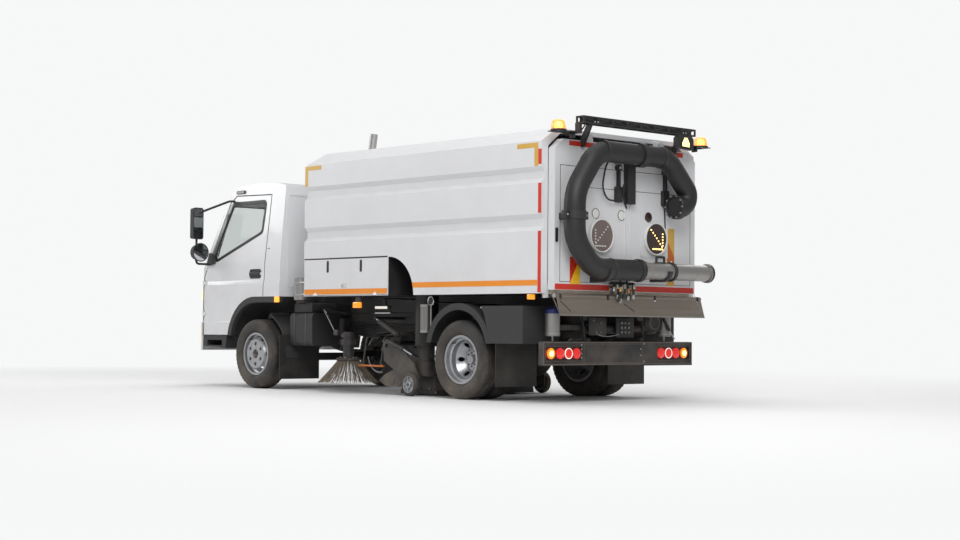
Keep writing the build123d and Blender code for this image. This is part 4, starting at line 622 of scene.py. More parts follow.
    def tube(self, points, radius, steps=10, smooth=6, end_radius=None):
        """A round tube along a smooth line through the points."""
        path = smooth_line([at(point) for point in points], smooth)
        rings = []
        across = (path[1] - path[0]).orthogonal().normalized()
        for number, point in enumerate(path):
            ahead = path[min(number + 1, len(path) - 1)] - path[max(number - 1, 0)]
            ahead.normalize()
            across = (across - ahead * across.dot(ahead)).normalized()
            beside = ahead.cross(across)
            share = number / (len(path) - 1)
            here = radius if end_radius is None else radius + (end_radius - radius) * share
            rings.append([
                self.mesh.verts.new(point + here * (across * math.cos(2 * math.pi * step / steps)
                                                    + beside * math.sin(2 * math.pi * step / steps)))
                for step in range(steps)])
        faces = [self.mesh.faces.new(rings[0]), self.mesh.faces.new(reversed(rings[-1]))]
        for first, second in zip(rings, rings[1:]):
            faces += self.walls(first, second)
        self.keep(faces)

    def done(self, name, body, stands_for=(), sharp=35.0):
        """Makes the piece, with its smooth faces split at sharp edges, and lets it ride on its body."""
        bmesh.ops.recalc_face_normals(self.mesh, faces=self.mesh.faces)
        data = bpy.data.meshes.new(name)
        self.mesh.to_mesh(data)
        self.mesh.free()
        for look in self.looks:
            data.materials.append(finish(look))
        data.set_sharp_from_angle(angle=math.radians(sharp))
        piece = bpy.data.objects.new(name, data)
        bpy.context.scene.collection.objects.link(piece)
        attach(piece, body)
        for node in stands_for:
            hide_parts(node)
        return piece


def smooth_line(points, steps):
    """Points of a smooth line through the given ones."""
    if len(points) < 3 or steps < 2:
        return points
    padded = [points[0] * 2 - points[1]] + points + [points[-1] * 2 - points[-2]]
    line = []
    for first, second, third, fourth in zip(padded, padded[1:], padded[2:], padded[3:]):
        for step in range(steps):
            t = step / steps
            line.append(0.5 * (2 * second + (third - first) * t
                               + (2 * first - 5 * second + 4 * third - fourth) * t**2
                               + (3 * second - first - 3 * third + fourth) * t**3))
    line.append(points[-1])
    return line


def pair(name):
    """The names of the left and right pieces."""
    return f"{name}_left", f"{name}_right"


# Finishes of the frame's own pieces
node_finishes = {
    "white_paint": ("cab_shell", *pair("cab_door"), "hopper_body", *pair("locker_flap"), "rear_door",
                    "front_bumper"),
    "chassis_paint": ("chassis_frame", "cross_members", "leaf_springs", "front_axle", "rear_axle",
                      *pair("knuckle"), "hose_carrier", "light_bar", *pair("brush_arm"), "pickup_head",
                      "rear_bumper"),
    "black_plastic": ("mudguards", "side_tanks", *pair("mirror")),
    "seat_cloth": ("cab_interior",),
    "cast_iron": ("engine_block",),
    "black_rubber": ("mudflaps", "wander_hose", "suction_hoses"),
    "tyre_rubber": (*pair("front_tyre"), *pair("rear_tyres"), *pair("castor")),
    "rim_paint": (*pair("front_wheel"), *pair("rear_wheels")),
    "alloy_tube": ("nozzle_tube", "air_tanks"),
    "worn_steel": ("tail_chute",),
    "bare_steel": ("roof_pipe",),
    "headlamp_lit": ("headlamps",),
    "red_lens": ("tail_lamps",),
    "amber_lens": ("signal_lamps",),
    "bristle_wire": pair("side_brush"),
    "window_glass": ("cab_glass", *pair("door_glass")),
}
rounded_nodes = (*node_finishes["white_paint"], "rear_bumper", "side_tanks")


# Faces of a node that take another finish, told by their centre (forward, out to the side, up) and by
# how far their normal points up. Under the cab and the hopper these are mostly painted shade.
def liner_and_painted_shade_under_cab(x, y, z, rise):
    """The inside of the cab's lower half and its down-facing underside take black as painted shade, and its
    wheel arches take the black plastic of their liners.
    """
    inner = y < 0.94 and z < 1.03 and x < 4.45
    in_arch = abs(math.hypot(x - arch_centre[0], z - arch_centre[1]) - arch_radius) < 0.012
    return inner or in_arch or (rise < -0.5 and z < 1.05)


def lugs_and_painted_shade_under_hopper(x, y, z, rise):
    """The bays of the suction hoses and the down-facing underside take dark paint as painted shade, the bays
    standing for an opening; the hinge lugs and the low beams take the dark chassis paint.
    """
    in_bay = 0.64 < x < 1.055 and y < 1.064 and z < 1.42
    lugs = z < 1.0105 and (y < 0.95 or x < -1.15)
    return in_bay or lugs or (rise < -0.5 and z < 1.42 and y < 1.06)


def tank_brackets(x, y, z, rise):
    """The brackets that hold the tanks to the rails."""
    return y < 0.7 or (x > 2.6 and z < 0.975) or (0.3 < x < 0.7 and y < 0.89 and z < 0.75)


dark_faces = (("cab_shell", "black_plastic", liner_and_painted_shade_under_cab), ("hopper_body", "chassis_paint", lugs_and_painted_shade_under_hopper),
              ("air_tanks", "chassis_paint", tank_brackets))


class SWEEPER_OT_finishes(bpy.types.Operator):
    """Gives each of the frame's own pieces its finish and softens the panel edges."""

    bl_idname = "sweeper.finishes"
    bl_label = "Finishes"

    def execute(self, context):
        for look, names in node_finishes.items():
            for name in names:
                node = nodes[name]
                node.data.materials.clear()
                node.data.materials.append(finish(look))
                for polygon in node.data.polygons:
                    polygon.material_index = 0
                if name in rounded_nodes:
                    self.soften(node)
        # Faces picked out above under the cab and the hopper get a dark finish as painted shade; the tank
        # brackets get their dark paint.
        for name, look, inside in dark_faces:
            data = nodes[name].data
            data.materials.append(finish(look))
            for polygon in data.polygons:
                x, y, z = polygon.center
                if inside(x - rear_axle, abs(y), z, polygon.normal.z):
                    polygon.material_index = 1
        return {"FINISHED"}

    def soften(self, node):
        """Rounds the sharp edges of a panel and keeps its faces flat."""
        for polygon in node.data.polygons:
            polygon.use_smooth = True
        weld = node.modifiers.new("weld", "WELD")
        weld.merge_threshold = 0.00005
        rounding = node.modifiers.new("rounded_edges", "BEVEL")
        rounding.width = sizes().edge_round
        rounding.segments = 2
        rounding.limit_method = "ANGLE"
        rounding.angle_limit = math.radians(32)
        normals = node.modifiers.new("face_normals", "WEIGHTED_NORMAL")
        normals.mode = "FACE_AREA"
        normals.keep_sharp = True


# Half sections of the tyre as (axial, radius), from the middle of the tread to the bead
tread_grooves = ((0.018, 0.027), (0.051, 0.06))
groove_wall = 0.001
notch_depth = 0.006
shoulder = [(0.0715, 0.3832), (0.078, 0.381), (0.086, 0.377), (0.0925, 0.369), (0.1005, 0.352),
            (0.1048, 0.338), (0.1068, 0.3245), (0.1075, 0.3215), (0.1066, 0.318), (0.1072, 0.305),
            (0.1062, 0.29), (0.1035, 0.272), (0.0985, 0.258), (0.092, 0.2475), (0.088, 0.249),
            (0.0835, 0.2455), (0.0745, 0.2375), (0.0745, 0.2235)]


class SWEEPER_OT_tyres(bpy.types.Operator):
    """Tyres with grooved treads and notched shoulders."""

    bl_idname = "sweeper.tyres"
    bl_label = "Tyres"

    def execute(self, context):
        low = tyre_radius - sizes().tread_depth
        half = [(0.0, tyre_radius)]
        for start, end in tread_grooves:
            half += [(start, tyre_radius), (start + groove_wall, low), (end - groove_wall, low),
                     (end, tyre_radius)]
        profile = both_ways(half + shoulder)
        for name, sign in sides:
            middle = sign * rear_wheel_y
            for node, body, x, places in (
                (f"front_tyre_{name}", f"wheel_front_{name}", front_axle, [sign * front_wheel_y]),
                (f"rear_tyres_{name}", f"wheels_rear_{name}", 0.0, [middle + twin_half, middle - twin_half]),
            ):
                shape = Shape("tyre_rubber")
                for y in places:
                    shape.lathe(profile, (x, y, tyre_radius), leftward, 144, cut=self.notch, closed=True)
                shape.done(f"{node}_tread", body, stands_for=(node,), sharp=30.0)
        return {"FINISHED"}

    @staticmethod
    def notch(along, radius, step):
        """A cut in every third step of the shoulder, outside the outer groove."""
        in_shoulder = abs(along) > 0.0601 and radius > 0.36
        return notch_depth if in_shoulder and step % 3 == 0 else 0.0


class SWEEPER_OT_wheels(bpy.types.Operator):
    """Wheel nuts, hub caps, valves and the castors' wheels."""

    bl_idname = "sweeper.wheels"
    bl_label = "Wheel details"

    def execute(self, context):
        for name, sign in sides:
            out = (0, sign, 0)
            shape = Shape("cast_iron")
            nuts = self.around(front_axle, sign * (front_wheel_y + 0.076), 0.112, 6, 30)
            shape.bolts(nuts, out, 0.0145, 0.008)
            shape.use("dark_face").lathe([(0, 0.047), (0.002, 0.0475), (0.006, 0.04), (0.007, 0)],
                                         (front_axle, sign * (front_wheel_y + 0.0702), tyre_radius), out, 32)
            self.valve(shape, front_axle, sign * front_wheel_y, sign)
            shape.done(f"front_hub_{name}", f"wheel_front_{name}")
            shape = Shape("rim_paint")
            nuts = self.around(0.0, sign * (rear_wheel_y + 0.012), 0.1, 6, 30)
            shape.bolts(nuts, out, 0.0145, 0.02)
            nuts = self.around(0.0, sign * (rear_wheel_y + 0.06), 0.065, 8, 0)
            shape.use("cast_iron").bolts(nuts, out, 0.008, 0.008)
            self.valve(shape, 0.0, sign * (rear_wheel_y + twin_half), sign)
            shape.done(f"rear_hub_{name}", f"wheels_rear_{name}")
            self.castor(name, sign)
        return {"FINISHED"}

    def around(self, x, y, radius, count, start):
        """Places on a circle round a wheel's centre."""
        return in_side(circle((x, tyre_radius), radius, count, start), y)

    def valve(self, shape, x, y, sign):
        shape.use("black_rubber").rod((x + 0.12, y + sign * 0.04, tyre_radius + 0.16),
                                      (x + 0.125, y + sign * 0.085, tyre_radius + 0.155), 0.005, 8)

    def castor(self, name, sign):
        """A castor wheel: rubber tread, rim, web, five spokes and hub."""
        x, y, z = castor_centre
        middle = (x, sign * y, z)
        tread = [(0.0045, 0.114), (0.006, 0.1178), (0.014, 0.118), (0.024, 0.113), (0.03, 0.104),
                 (0.03, 0.086)]
        web = [(0.004, 0.08), (0.006, 0.03)]
        hub = [(0.028, 0.033), (0.032, 0.03), (0.032, 0.0155)]
        shape = Shape("tyre_rubber")
        shape.lathe(both_ways(tread), middle, leftward, 64, closed=True)
        shape.use("rim_paint").ring((x, sign * y - 0.026, z), leftward, 0.0865, 0.076, 0.052, 48)
        shape.lathe(both_ways(web), middle, leftward, 48, closed=True)
        half = Vector((0.027, 0.02, 0.007))
        for number in range(5):
            turn = Matrix.Rotation(math.radians(72 * number), 3, "Y")
            spoke = Vector(middle) + turn @ Vector((0.054, 0, 0))
            shape.block(spoke - half, spoke + half, 0.003, turn=turn)
        shape.lathe(both_ways(hub), middle, leftward, 32, closed=True)
        shape.done(f"castor_{name}_wheel", f"castor_wheel_{name}",
                   stands_for=(f"castor_{name}",))


class SWEEPER_OT_cab_trim(bpy.types.Operator):
    """Seals, wipers, arch trim, marker lamps and bumper details of the cab."""

    bl_idname = "sweeper.cab_trim"
    bl_label = "Cab trim"

    def execute(self, context):
        shape = Shape("black_rubber")
        screen = rounded((0.0, 1.68), (1.7, 0.78), 0.05)
        outer, inner = ([(screen_x(b) - 0.01, a, b) for a, b in grow(screen, amount)]
                        for amount in (0.02, -0.012))
        shape.frame(outer, inner, Vector((0.88, 0.0, 0.45)).normalized() * 0.012)
        shape.border(rounded((0.0, 1.83), (1.04, 0.42), 0.03), 0.016, -0.01, 3.023, 0.014)
        shape.use("black_plastic")
        for start, end, pivot in ((0.1, 0.72, 0.5), (-0.62, 0.0, -0.22)):
            self.wiper(shape, start, end, pivot)
        for slat in range(5):
            x, z = 4.598 + 0.001 * slat, 0.9 + 0.04 * slat
            shape.slab((x - 0.012, x - 0.004), (0.0, 0.555), (z - 0.009, z + 0.011), 0.002)
        for sign in (1, -1):
            self.side(shape, sign)
        shape.done("cab_trim", "cab")
        self.bumper()
        return {"FINISHED"}

    def wiper(self, shape, start, end, pivot):
        """A blade that lies on the windscreen, its arm and its spindle."""
        low, high = ((screen_x(z) - 0.002, y, z) for y, z in ((start, 1.335), (end, 1.36)))
        shape.rod(low, high, 0.008, 10)
        x, y, z = ((a + b) / 2 for a, b in zip(low, high))
        foot = screen_x(1.27)
        shape.tube([(foot + 0.008, pivot, 1.27), (x + 0.012, y, z)], 0.007, 8)
        shape.rod((foot - 0.01, pivot, 1.262), (foot + 0.015, pivot, 1.27), 0.015)

    def side(self, shape, sign):
        """Arch lip and liner, marker lamp, side lamp, door seam and rear panel of one side."""
        shape.use("black_plastic")
        outer, inner = (circle(arch_centre, radius, 20, 10, 80) + [(3.032, arch_centre[1] + radius)]
                        for radius in (0.5195, 0.455))
        shape.side_sheet(outer + inner[::-1], sign * 0.93, sign * 0.052)
        liner = circle((3.46, 0.36), 0.5, 10, 112, 70)
        shape.side_sheet(liner + grow_line(liner, -0.012), sign * 0.5, sign * 0.42)
        marker = (3.88, 2.21)
        shape.prism(on_cab(rounded(marker, (0.17, 0.036), 0.014), sign, -0.004), (0, sign * 0.016, 0))
        shape.use("lamp_face").prism(on_cab(rounded(marker, (0.14, 0.024), 0.01), sign, 0.012),
                                     (0, sign * 0.004, 0))
        shape.use("marker_lit").slab((3.022, 3.104), (sign * 0.985, 0.009), (0.955, 1.018), 0.008)
        shape.use("headlamp_lit").side_sheet(rounded((4.55, 1.045), (0.035, 0.11), 0.012), sign * 0.965,
                                             sign * 0.013)
        self.door_seam(shape, sign)
        panel = rounded((sign * 0.74, 1.64), (0.28, 1.04), 0.05)
        shape.use("white_paint").border(panel, 0.0, -0.02, 3.024, 0.008)

    def door_seam(self, shape, sign):
        """The dark rubber lip in the gap round the door, and its catch mark behind."""
        edge = [(4.5, 0.6), (4.5, 0.738), (4.5, 0.75), (4.5, 1.16), (4.5, 1.204), (4.5, 1.25), (4.41, 1.42),
                (4.07, 2.09), (3.96, 2.165), (3.29, 2.15), (3.3238, 1.4), (3.3326, 1.204), (3.3346, 1.16),
                (3.34, 1.03)]
        outer, inner = ([(a, sign * (shell_side(b) - 0.004), b) for a, b in grow(edge, amount)]
                        for amount in (0.0125, 0.006))
        shape.use("black_rubber").ribbon(outer, inner, (0, sign * 0.005, 0))
        catch = rounded((3.262, 1.553), (0.036, 0.009), 0.003)
        shape.prism(on_cab(catch, sign, -0.002), (0, sign * 0.004, 0))

    def bumper(self):
        """Plate panel with a blank plate, fog lamps and corner lamps of the front bumper."""
        shape = Shape("black_plastic")
        shape.slab((4.634, 4.6488), (0.0, 0.42), (0.47, 0.6), 0.01)
        shape.use("pale_plate").slab((4.644, 4.6493), (0.0, 0.26), (0.48, 0.59), 0.002)
        centre, spokes = arc((4.54, 0.985), (4.605, 0.93), (4.635, 0.78), 16)
        corner = [centre + spoke * (1 + out / spoke.length)
                  for out, line in ((0.003, spokes[:15]), (-0.004, spokes[14::-1])) for spoke in line]
        fog_lens = [(0, 0), (0, 0.047), (0.012, 0.047), (0.02, 0.03), (0.022, 0)]
        for sign in (1, -1):
            fog = (4.615, sign * 0.66, 0.52)
            shape.use("black_plastic").ring(fog, forward, 0.062, 0.046, 0.026, 32)
            shape.use("clear_lens").lathe(fog_lens, fog, forward, 32)
            shape.use("corner_lamp").prism([(a, sign * b, 0.45) for a, b in corner], (0, 0, 0.25))
        shape.done("bumper_trim", "chassis")


class SWEEPER_OT_door_trim(bpy.types.Operator):
    """Window seals, handles and mirror glasses of the cab doors."""

    bl_idname = "sweeper.door_trim"
    bl_label = "Door trim"

    def execute(self, context):
        window = [(3.378, 2.085), (3.41, 1.74), (4.285, 1.43), (4.31, 1.52), (4.02, 2.085)]
        quarter = [(4.398, 1.425), (4.064, 2.082), *reversed(window[2:])]
        mirror_foot = [(4.28, 1.405), (4.42, 1.385), (4.385, 1.53), (4.31, 1.51)]
        for name, sign in sides:
            shape = Shape("black_rubber")
            out = (0, sign * 0.012, 0)
            outer, inner = (on_cab(round_corners(grow(window, amount), radius), sign, -0.009)
                            for amount, radius in ((0.018, 0.06), (-0.016, 0.045)))
            shape.frame(outer, inner, out)
            shape.slab((3.393, 3.404), (sign * 0.972, 0.003), (1.03, 1.07), 0.002)
            shape.use("black_gloss").prism(on_cab(quarter, sign, -0.008), out)
            shape.use("black_plastic").prism(on_cab(mirror_foot, sign, -0.004), (0, sign * 0.04, 0))
            shape.side_sheet(rounded((3.5, 1.275), (0.236, 0.104), 0.038), sign * 0.954, sign * 0.006)
            shape.slab((3.402, 3.618), (sign * 0.9635, 0.01), (1.261, 1.289), 0.006)
            shape.use("mirror_glass")
            for glass in (rounded((sign * 1.18, 1.862), (0.118, 0.336), 0.024),
                          circle((sign * 1.142, 1.532), 0.096, 40)):
                shape.rear_sheet(glass, 4.3335, 0.003)
            shape.done(f"door_trim_{name}", f"door_{name}")
        return {"FINISHED"}


class SWEEPER_OT_side_tapes(bpy.types.Operator):
    """Stripes, corner markers, red tapes, side lamps and a painted shadow over the lockers' gap on the
    hopper, and the toolbox doors' latches.
    """

    bl_idname = "sweeper.side_tapes"
    bl_label = "Side tapes"

    def execute(self, context):
        shape = Shape("white_paint")
        self.slope_plate(shape)
        stripe = [(-1.095, 1.085), (0.6619, 1.085), (0.6756, 1.137), (-1.095, 1.137)]
        for sign in (1, -1):
            face, out = sign * hopper_side, sign * sizes().tape_skin
            shape.use("orange_tape").side_sheet(stripe, face, out)
            shape.use("gold_tape")
            for end, way in ((-1.098, 1), (2.457, -1)):
                inner, tip = end + way * 0.05, end + way * 0.28
                shape.side_sheet([(end, 2.184), (inner, 2.184), (inner, 2.355), (tip, 2.355), (tip, 2.4),
                                  (end, 2.4)], face, out)
            shape.use("red_tape")
            for low, high in ((2.2, 2.34), (1.75, 2.027), (1.02, 1.585)):
                shape.side_sheet(oblong(-1.1425, -1.1, low, high), face, out)
            for start, end, low, high in ((1.5, 1.63, 0.886, 0.947), (-1.044, -0.952, 0.956, 1.006)):
                shape.use("amber_lens").slab((start, end), (sign * 1.05, 0.012), (low, high), 0.008)
                shape.use("black_rubber").slab((start + 0.02, end - 0.02), (sign * 1.035, 0.006),
                                               (low + 0.01, 1.02), 0.002)
            # A black strip over the gap above the lockers: a painted shadow in the black rubber finish.
            shape.slab((1.06, 2.452), (sign * 1.0625, 0.007), (1.3988, 1.4125), 0.002)
        shape.done("side_tapes", "hopper")
        for name, sign in sides:
            self.toolbox_door(name, sign)
        return {"FINISHED"}

    def slope_plate(self, shape):
        """The thin plate across the top edge of the hopper's front slope."""
        foot, lean = (2.4605, 2.357), 0.5873
        edge = ((-0.935, 2.415), (0.935, 2.415), (0.84, 2.515), (-0.84, 2.515))
        shape.prism([(foot[0] - (z - foot[1]) * lean, y, z) for y, z in edge], (0.003, 0, 0.0018))

    def toolbox_door(self, name, sign):
        """Stripe, two latches and the framed blank label with its lock."""
        face = sign * hopper_side
        shape = Shape("orange_tape")
        shape.side_sheet(oblong(1.064, 2.446, 1.031, 1.085), face, sign * sizes().tape_skin)
        shape.use("black_plastic")
        for x in (2.045, 1.489):
            shape.side_sheet(rounded((x, 1.32), (0.034, 0.124), 0.012), face, sign * 0.003)
            shape.slab((x - 0.009, x + 0.009), (face + sign * 0.005, 0.004), (1.272, 1.368), 0.003)
        outer, inner = (in_side(rounded((1.77, 1.117), size, radius), face)
                        for size, radius in (((0.078, 0.04), 0.005), ((0.07, 0.032), 0.003)))
        shape.use("bare_steel").frame(outer, inner, (0, sign * 0.002, 0))
        shape.rod((1.785, face, 1.117), (1.785, face + sign * 0.004, 1.117), 0.009)
        shape.done(f"locker_trim_{name}", f"flap_{name}")


class SWEEPER_OT_rear_door(bpy.types.Operator):
    """Tapes, panel lines, plates, cables and the valve cluster on the rear door."""

    bl_idname = "sweeper.rear_door"
    bl_label = "Rear door details"

    def execute(self, context):
        skin = sizes().tape_skin
        shape = Shape("red_tape")
        for look, tape, under in (
            ("red_tape", oblong(0.975, 0.25, 1.05, 1.103), 0.0),
            ("red_tape", oblong(-0.02, -0.965, 1.05, 1.103), 0.0),
            ("red_tape", oblong(0.8, -0.8, 2.385, 2.43), 0.0),
            ("red_tape", [(0.781, 1.356), (0.646, 1.356), (0.781, 1.11)], 0.0),
            ("yellow_tape", [(0.781, 1.104), (0.781, 1.11), (0.646, 1.356), (0.646, 1.104)], 0.0),
            ("gold_tape", oblong(-0.568, -0.676, 1.115, 1.676), 0.0),
            ("dark_orange_tape", [(-0.568, 1.56), (-0.568, 1.36), (-0.676, 1.2), (-0.676, 1.4)], skin),
        ):
            shape.use(look).rear_sheet(tape, door_face - under, -skin)
        for y, look in ((0.443, "pale_plate"), (0.088, "pale_plate"), (-0.295, "dark_face")):
            middle = (door_face, y, 1.77)
            shape.use(look).lathe([(0, 0), (0, 0.046), (0.003, 0.046), (0.005, 0.04), (0.005, 0)], middle,
                                  backward, 40)
            shape.use("dark_face").ring(middle, backward, 0.05, 0.045, 0.006, 40)
        shape.use("pale_plate").rear_sheet(rounded((-0.125, 1.372), (0.15, 0.05), 0.004), door_face, -0.004)
        self.panels(shape)
        self.cables(shape)
        shape.done("rear_door_trim", "tailgate")
        self.valves()
        return {"FINISHED"}

    def panels(self, shape):
        """The pilaster below the mast, panel lines, raised panels round the lamps and the lower strip."""
        shape.use("white_paint")
        for y in (0.04, -0.035):
            shape.slab((door_face - 0.008, door_face + 0.002), (y, 0.01), (1.13, 1.878), 0.004)
        for sign in (1, -1):
            shape.rear_sheet(rounded((sign * lamp_side, 1.56), (0.39, 0.36), 0.01), door_face, -0.004)
        shape.use("dark_face").border(oblong(0.915, -0.915, 1.12, 2.2), 0.0, -0.005, door_face, -0.001)
        for line in (oblong(0.76, -0.76, 2.007, 2.012), oblong(0.56, 0.555, 2.01, 2.2)):
            shape.rear_sheet(line, door_face, -0.001)
        shape.use("cream_paint").rear_sheet(oblong(0.97, -0.97, 1.001, 1.046), -1.165, -0.006)

    def cables(self, shape):
        """Cables from the mast to the lamps, a rubber stop and the cable glands."""
        shape.use("black_rubber").rear_sheet(rounded((0.96, 1.55), (0.03, 0.13), 0.01), door_face, -0.01)
        cable = ((0.207, 2.259), (0.317, 2.261), (0.371, 2.135), (0.383, 2.012), (0.314, 1.912),
                 (0.148, 1.903))
        shape.tube(in_rear(cable, -1.272), 0.0085, 10, 8)
        cable = ((-0.515, 1.95), (-0.53, 1.75), (-0.53, 1.66), (-0.5, 1.63), (-0.4, 1.63))
        shape.tube(in_rear(cable, door_face - 0.008), 0.006, 8)
        shape.tube([(-1.3, 0.13, 2.06), (-1.27, 0.1, 1.95), (-1.245, 0.03, 1.84)], 0.008, 8)
        gland = [(0, 0.012), (0.008, 0.012), (0.012, 0.008), (0.012, 0)]
        for y in (0.15, -0.515):
            shape.use("cream_paint").lathe(gland, (-1.272, y, 2.22), backward, 16)

    def valves(self):
        """Couplings and short hoses in a bunch at the door's lower edge."""
        shape = Shape("cast_iron")
        shape.slab((-1.262, -1.238), (0.12, 0.13), (1.075, 1.135), 0.006)
        for number in range(9):
            y = -0.022 + number * 0.034
            x = -1.28 - 0.05 * scatter(number)
            low = 0.925 + 0.1 * scatter(number + 2)
            lean = 0.04 * (scatter(number + 5) - 0.5)
            knee = 1.035 + 0.05 * scatter(number + 9)
            odd = number % 2
            bends = [(-1.255, y, 1.12), (x, y, 1.12), (x - 0.012, y + lean, knee), (x, y + lean * 1.6, low)]
            shape.use("cast_iron" if odd else "black_rubber").tube(bends, 0.0105, 8)
            shape.use("bare_steel" if number % 3 else "brass").rod(
                (x - 0.008, y + lean * 0.6, knee + 0.03), (x - 0.012, y + lean, knee - 0.015), 0.0165, 6)
            shape.use("bare_steel" if odd else "cast_iron").rod(
                (x - 0.004, y + lean * 1.4, low + 0.035), (x, y + lean * 1.6, low - 0.008), 0.0155, 6)
            shape.use("bare_steel").rod((-1.238, y, 1.105), (-1.268, y, 1.105), 0.013, 6)
        shape.use("black_rubber")
        for y in (0.07, 0.16):
            shape.tube([(-1.3, y, 1.06), (-1.3, y + 0.01, 1.15), (-1.26, y + 0.02, 1.26), (-1.24, y, 1.35)],
                       0.009, 8)
        shape.done("door_valves", "tailgate")


class SWEEPER_OT_hose_details(bpy.types.Operator):
    """Bands, clamps and bolts on the wander hose, and the nozzle's handle and joints."""

    bl_idname = "sweeper.hose_details"
    bl_label = "Hose details"

    def execute(self, context):
        shape = Shape("black_rubber")
        # Rings round the level runs: finish, y, height, outer and inner radius, width
        for look, y, z, outer, inner, width in (
            ("black_rubber", 0.002, nozzle_z, 0.1085, 0.096, 0.05),
            ("chassis_paint", 0.021, nozzle_z, 0.1105, 0.098, 0.012),
            ("black_rubber", 0.4, nozzle_z, 0.1035, 0.096, 0.02),
            ("chassis_paint", 0.404, nozzle_z, 0.1055, 0.098, 0.012),
            ("chassis_paint", 0.5, hose_top, 0.1055, 0.099, 0.035),
            ("chassis_paint", -0.3, hose_top, 0.1055, 0.099, 0.035),
            ("chassis_paint", -0.545, coupling_z, 0.1172, 0.099, 0.02),
            ("chassis_paint", -0.505, coupling_z, 0.116, 0.099, 0.02),
            ("worn_steel", -0.106, nozzle_z, 0.0815, 0.075, 0.006),
            ("worn_steel", -0.744, nozzle_z, 0.0815, 0.075, 0.004),
            ("chassis_paint", -0.452, nozzle_z, 0.0945, 0.079, 0.034),
            ("chassis_paint", -0.9995, nozzle_z, 0.0938, 0.078, 0.032),
        ):
            shape.use(look).ring((hose_x, y, z), leftward, outer, inner, width, 48)
        self.clamp(shape)
        flange = circle((hose_x, coupling_z), 0.106, 10)
        shape.use("bare_steel").bolts(in_side(flange, -0.4855), leftward, 0.009, 0.01)
        shape.bolts([(hose_x - 0.012, -0.435, nozzle_z + 0.092)], upward, 0.009, 0.01)
        handle = ((-0.235, 1.32), (-0.235, 1.375), (-0.245, 1.383), (-0.335, 1.383), (-0.345, 1.375),
                  (-0.345, 1.32))
        shape.use("chassis_paint").tube(in_rear(handle, hose_x), 0.012, 10, 3)
        shape.slab((hose_x - 0.02, hose_x + 0.02), (-0.29, 0.07), (1.318, 1.334), 0.004)
        shape.done("hose_details", "tailgate")
        return {"FINISHED"}

    def clamp(self, shape):
        """The two-part clamp on the upright run, with its ears and bolts."""
        shape.use("chassis_paint")
        for z, outer, depth in ((1.69, 0.1075, 0.075), (1.715, 0.1095, 0.02)):
            shape.ring((hose_x, hose_side, z), upward, outer, 0.099, depth, 48)
        ears = (hose_side + 0.125, hose_side - 0.125)
        for y in ears:
            shape.slab((hose_x - 0.03, hose_x + 0.03), (y, 0.025), (1.69, 1.765), 0.006)
        shape.use("bare_steel").bolts([(hose_x - 0.03, y, 1.728) for y in ears], backward, 0.011, 0.008)


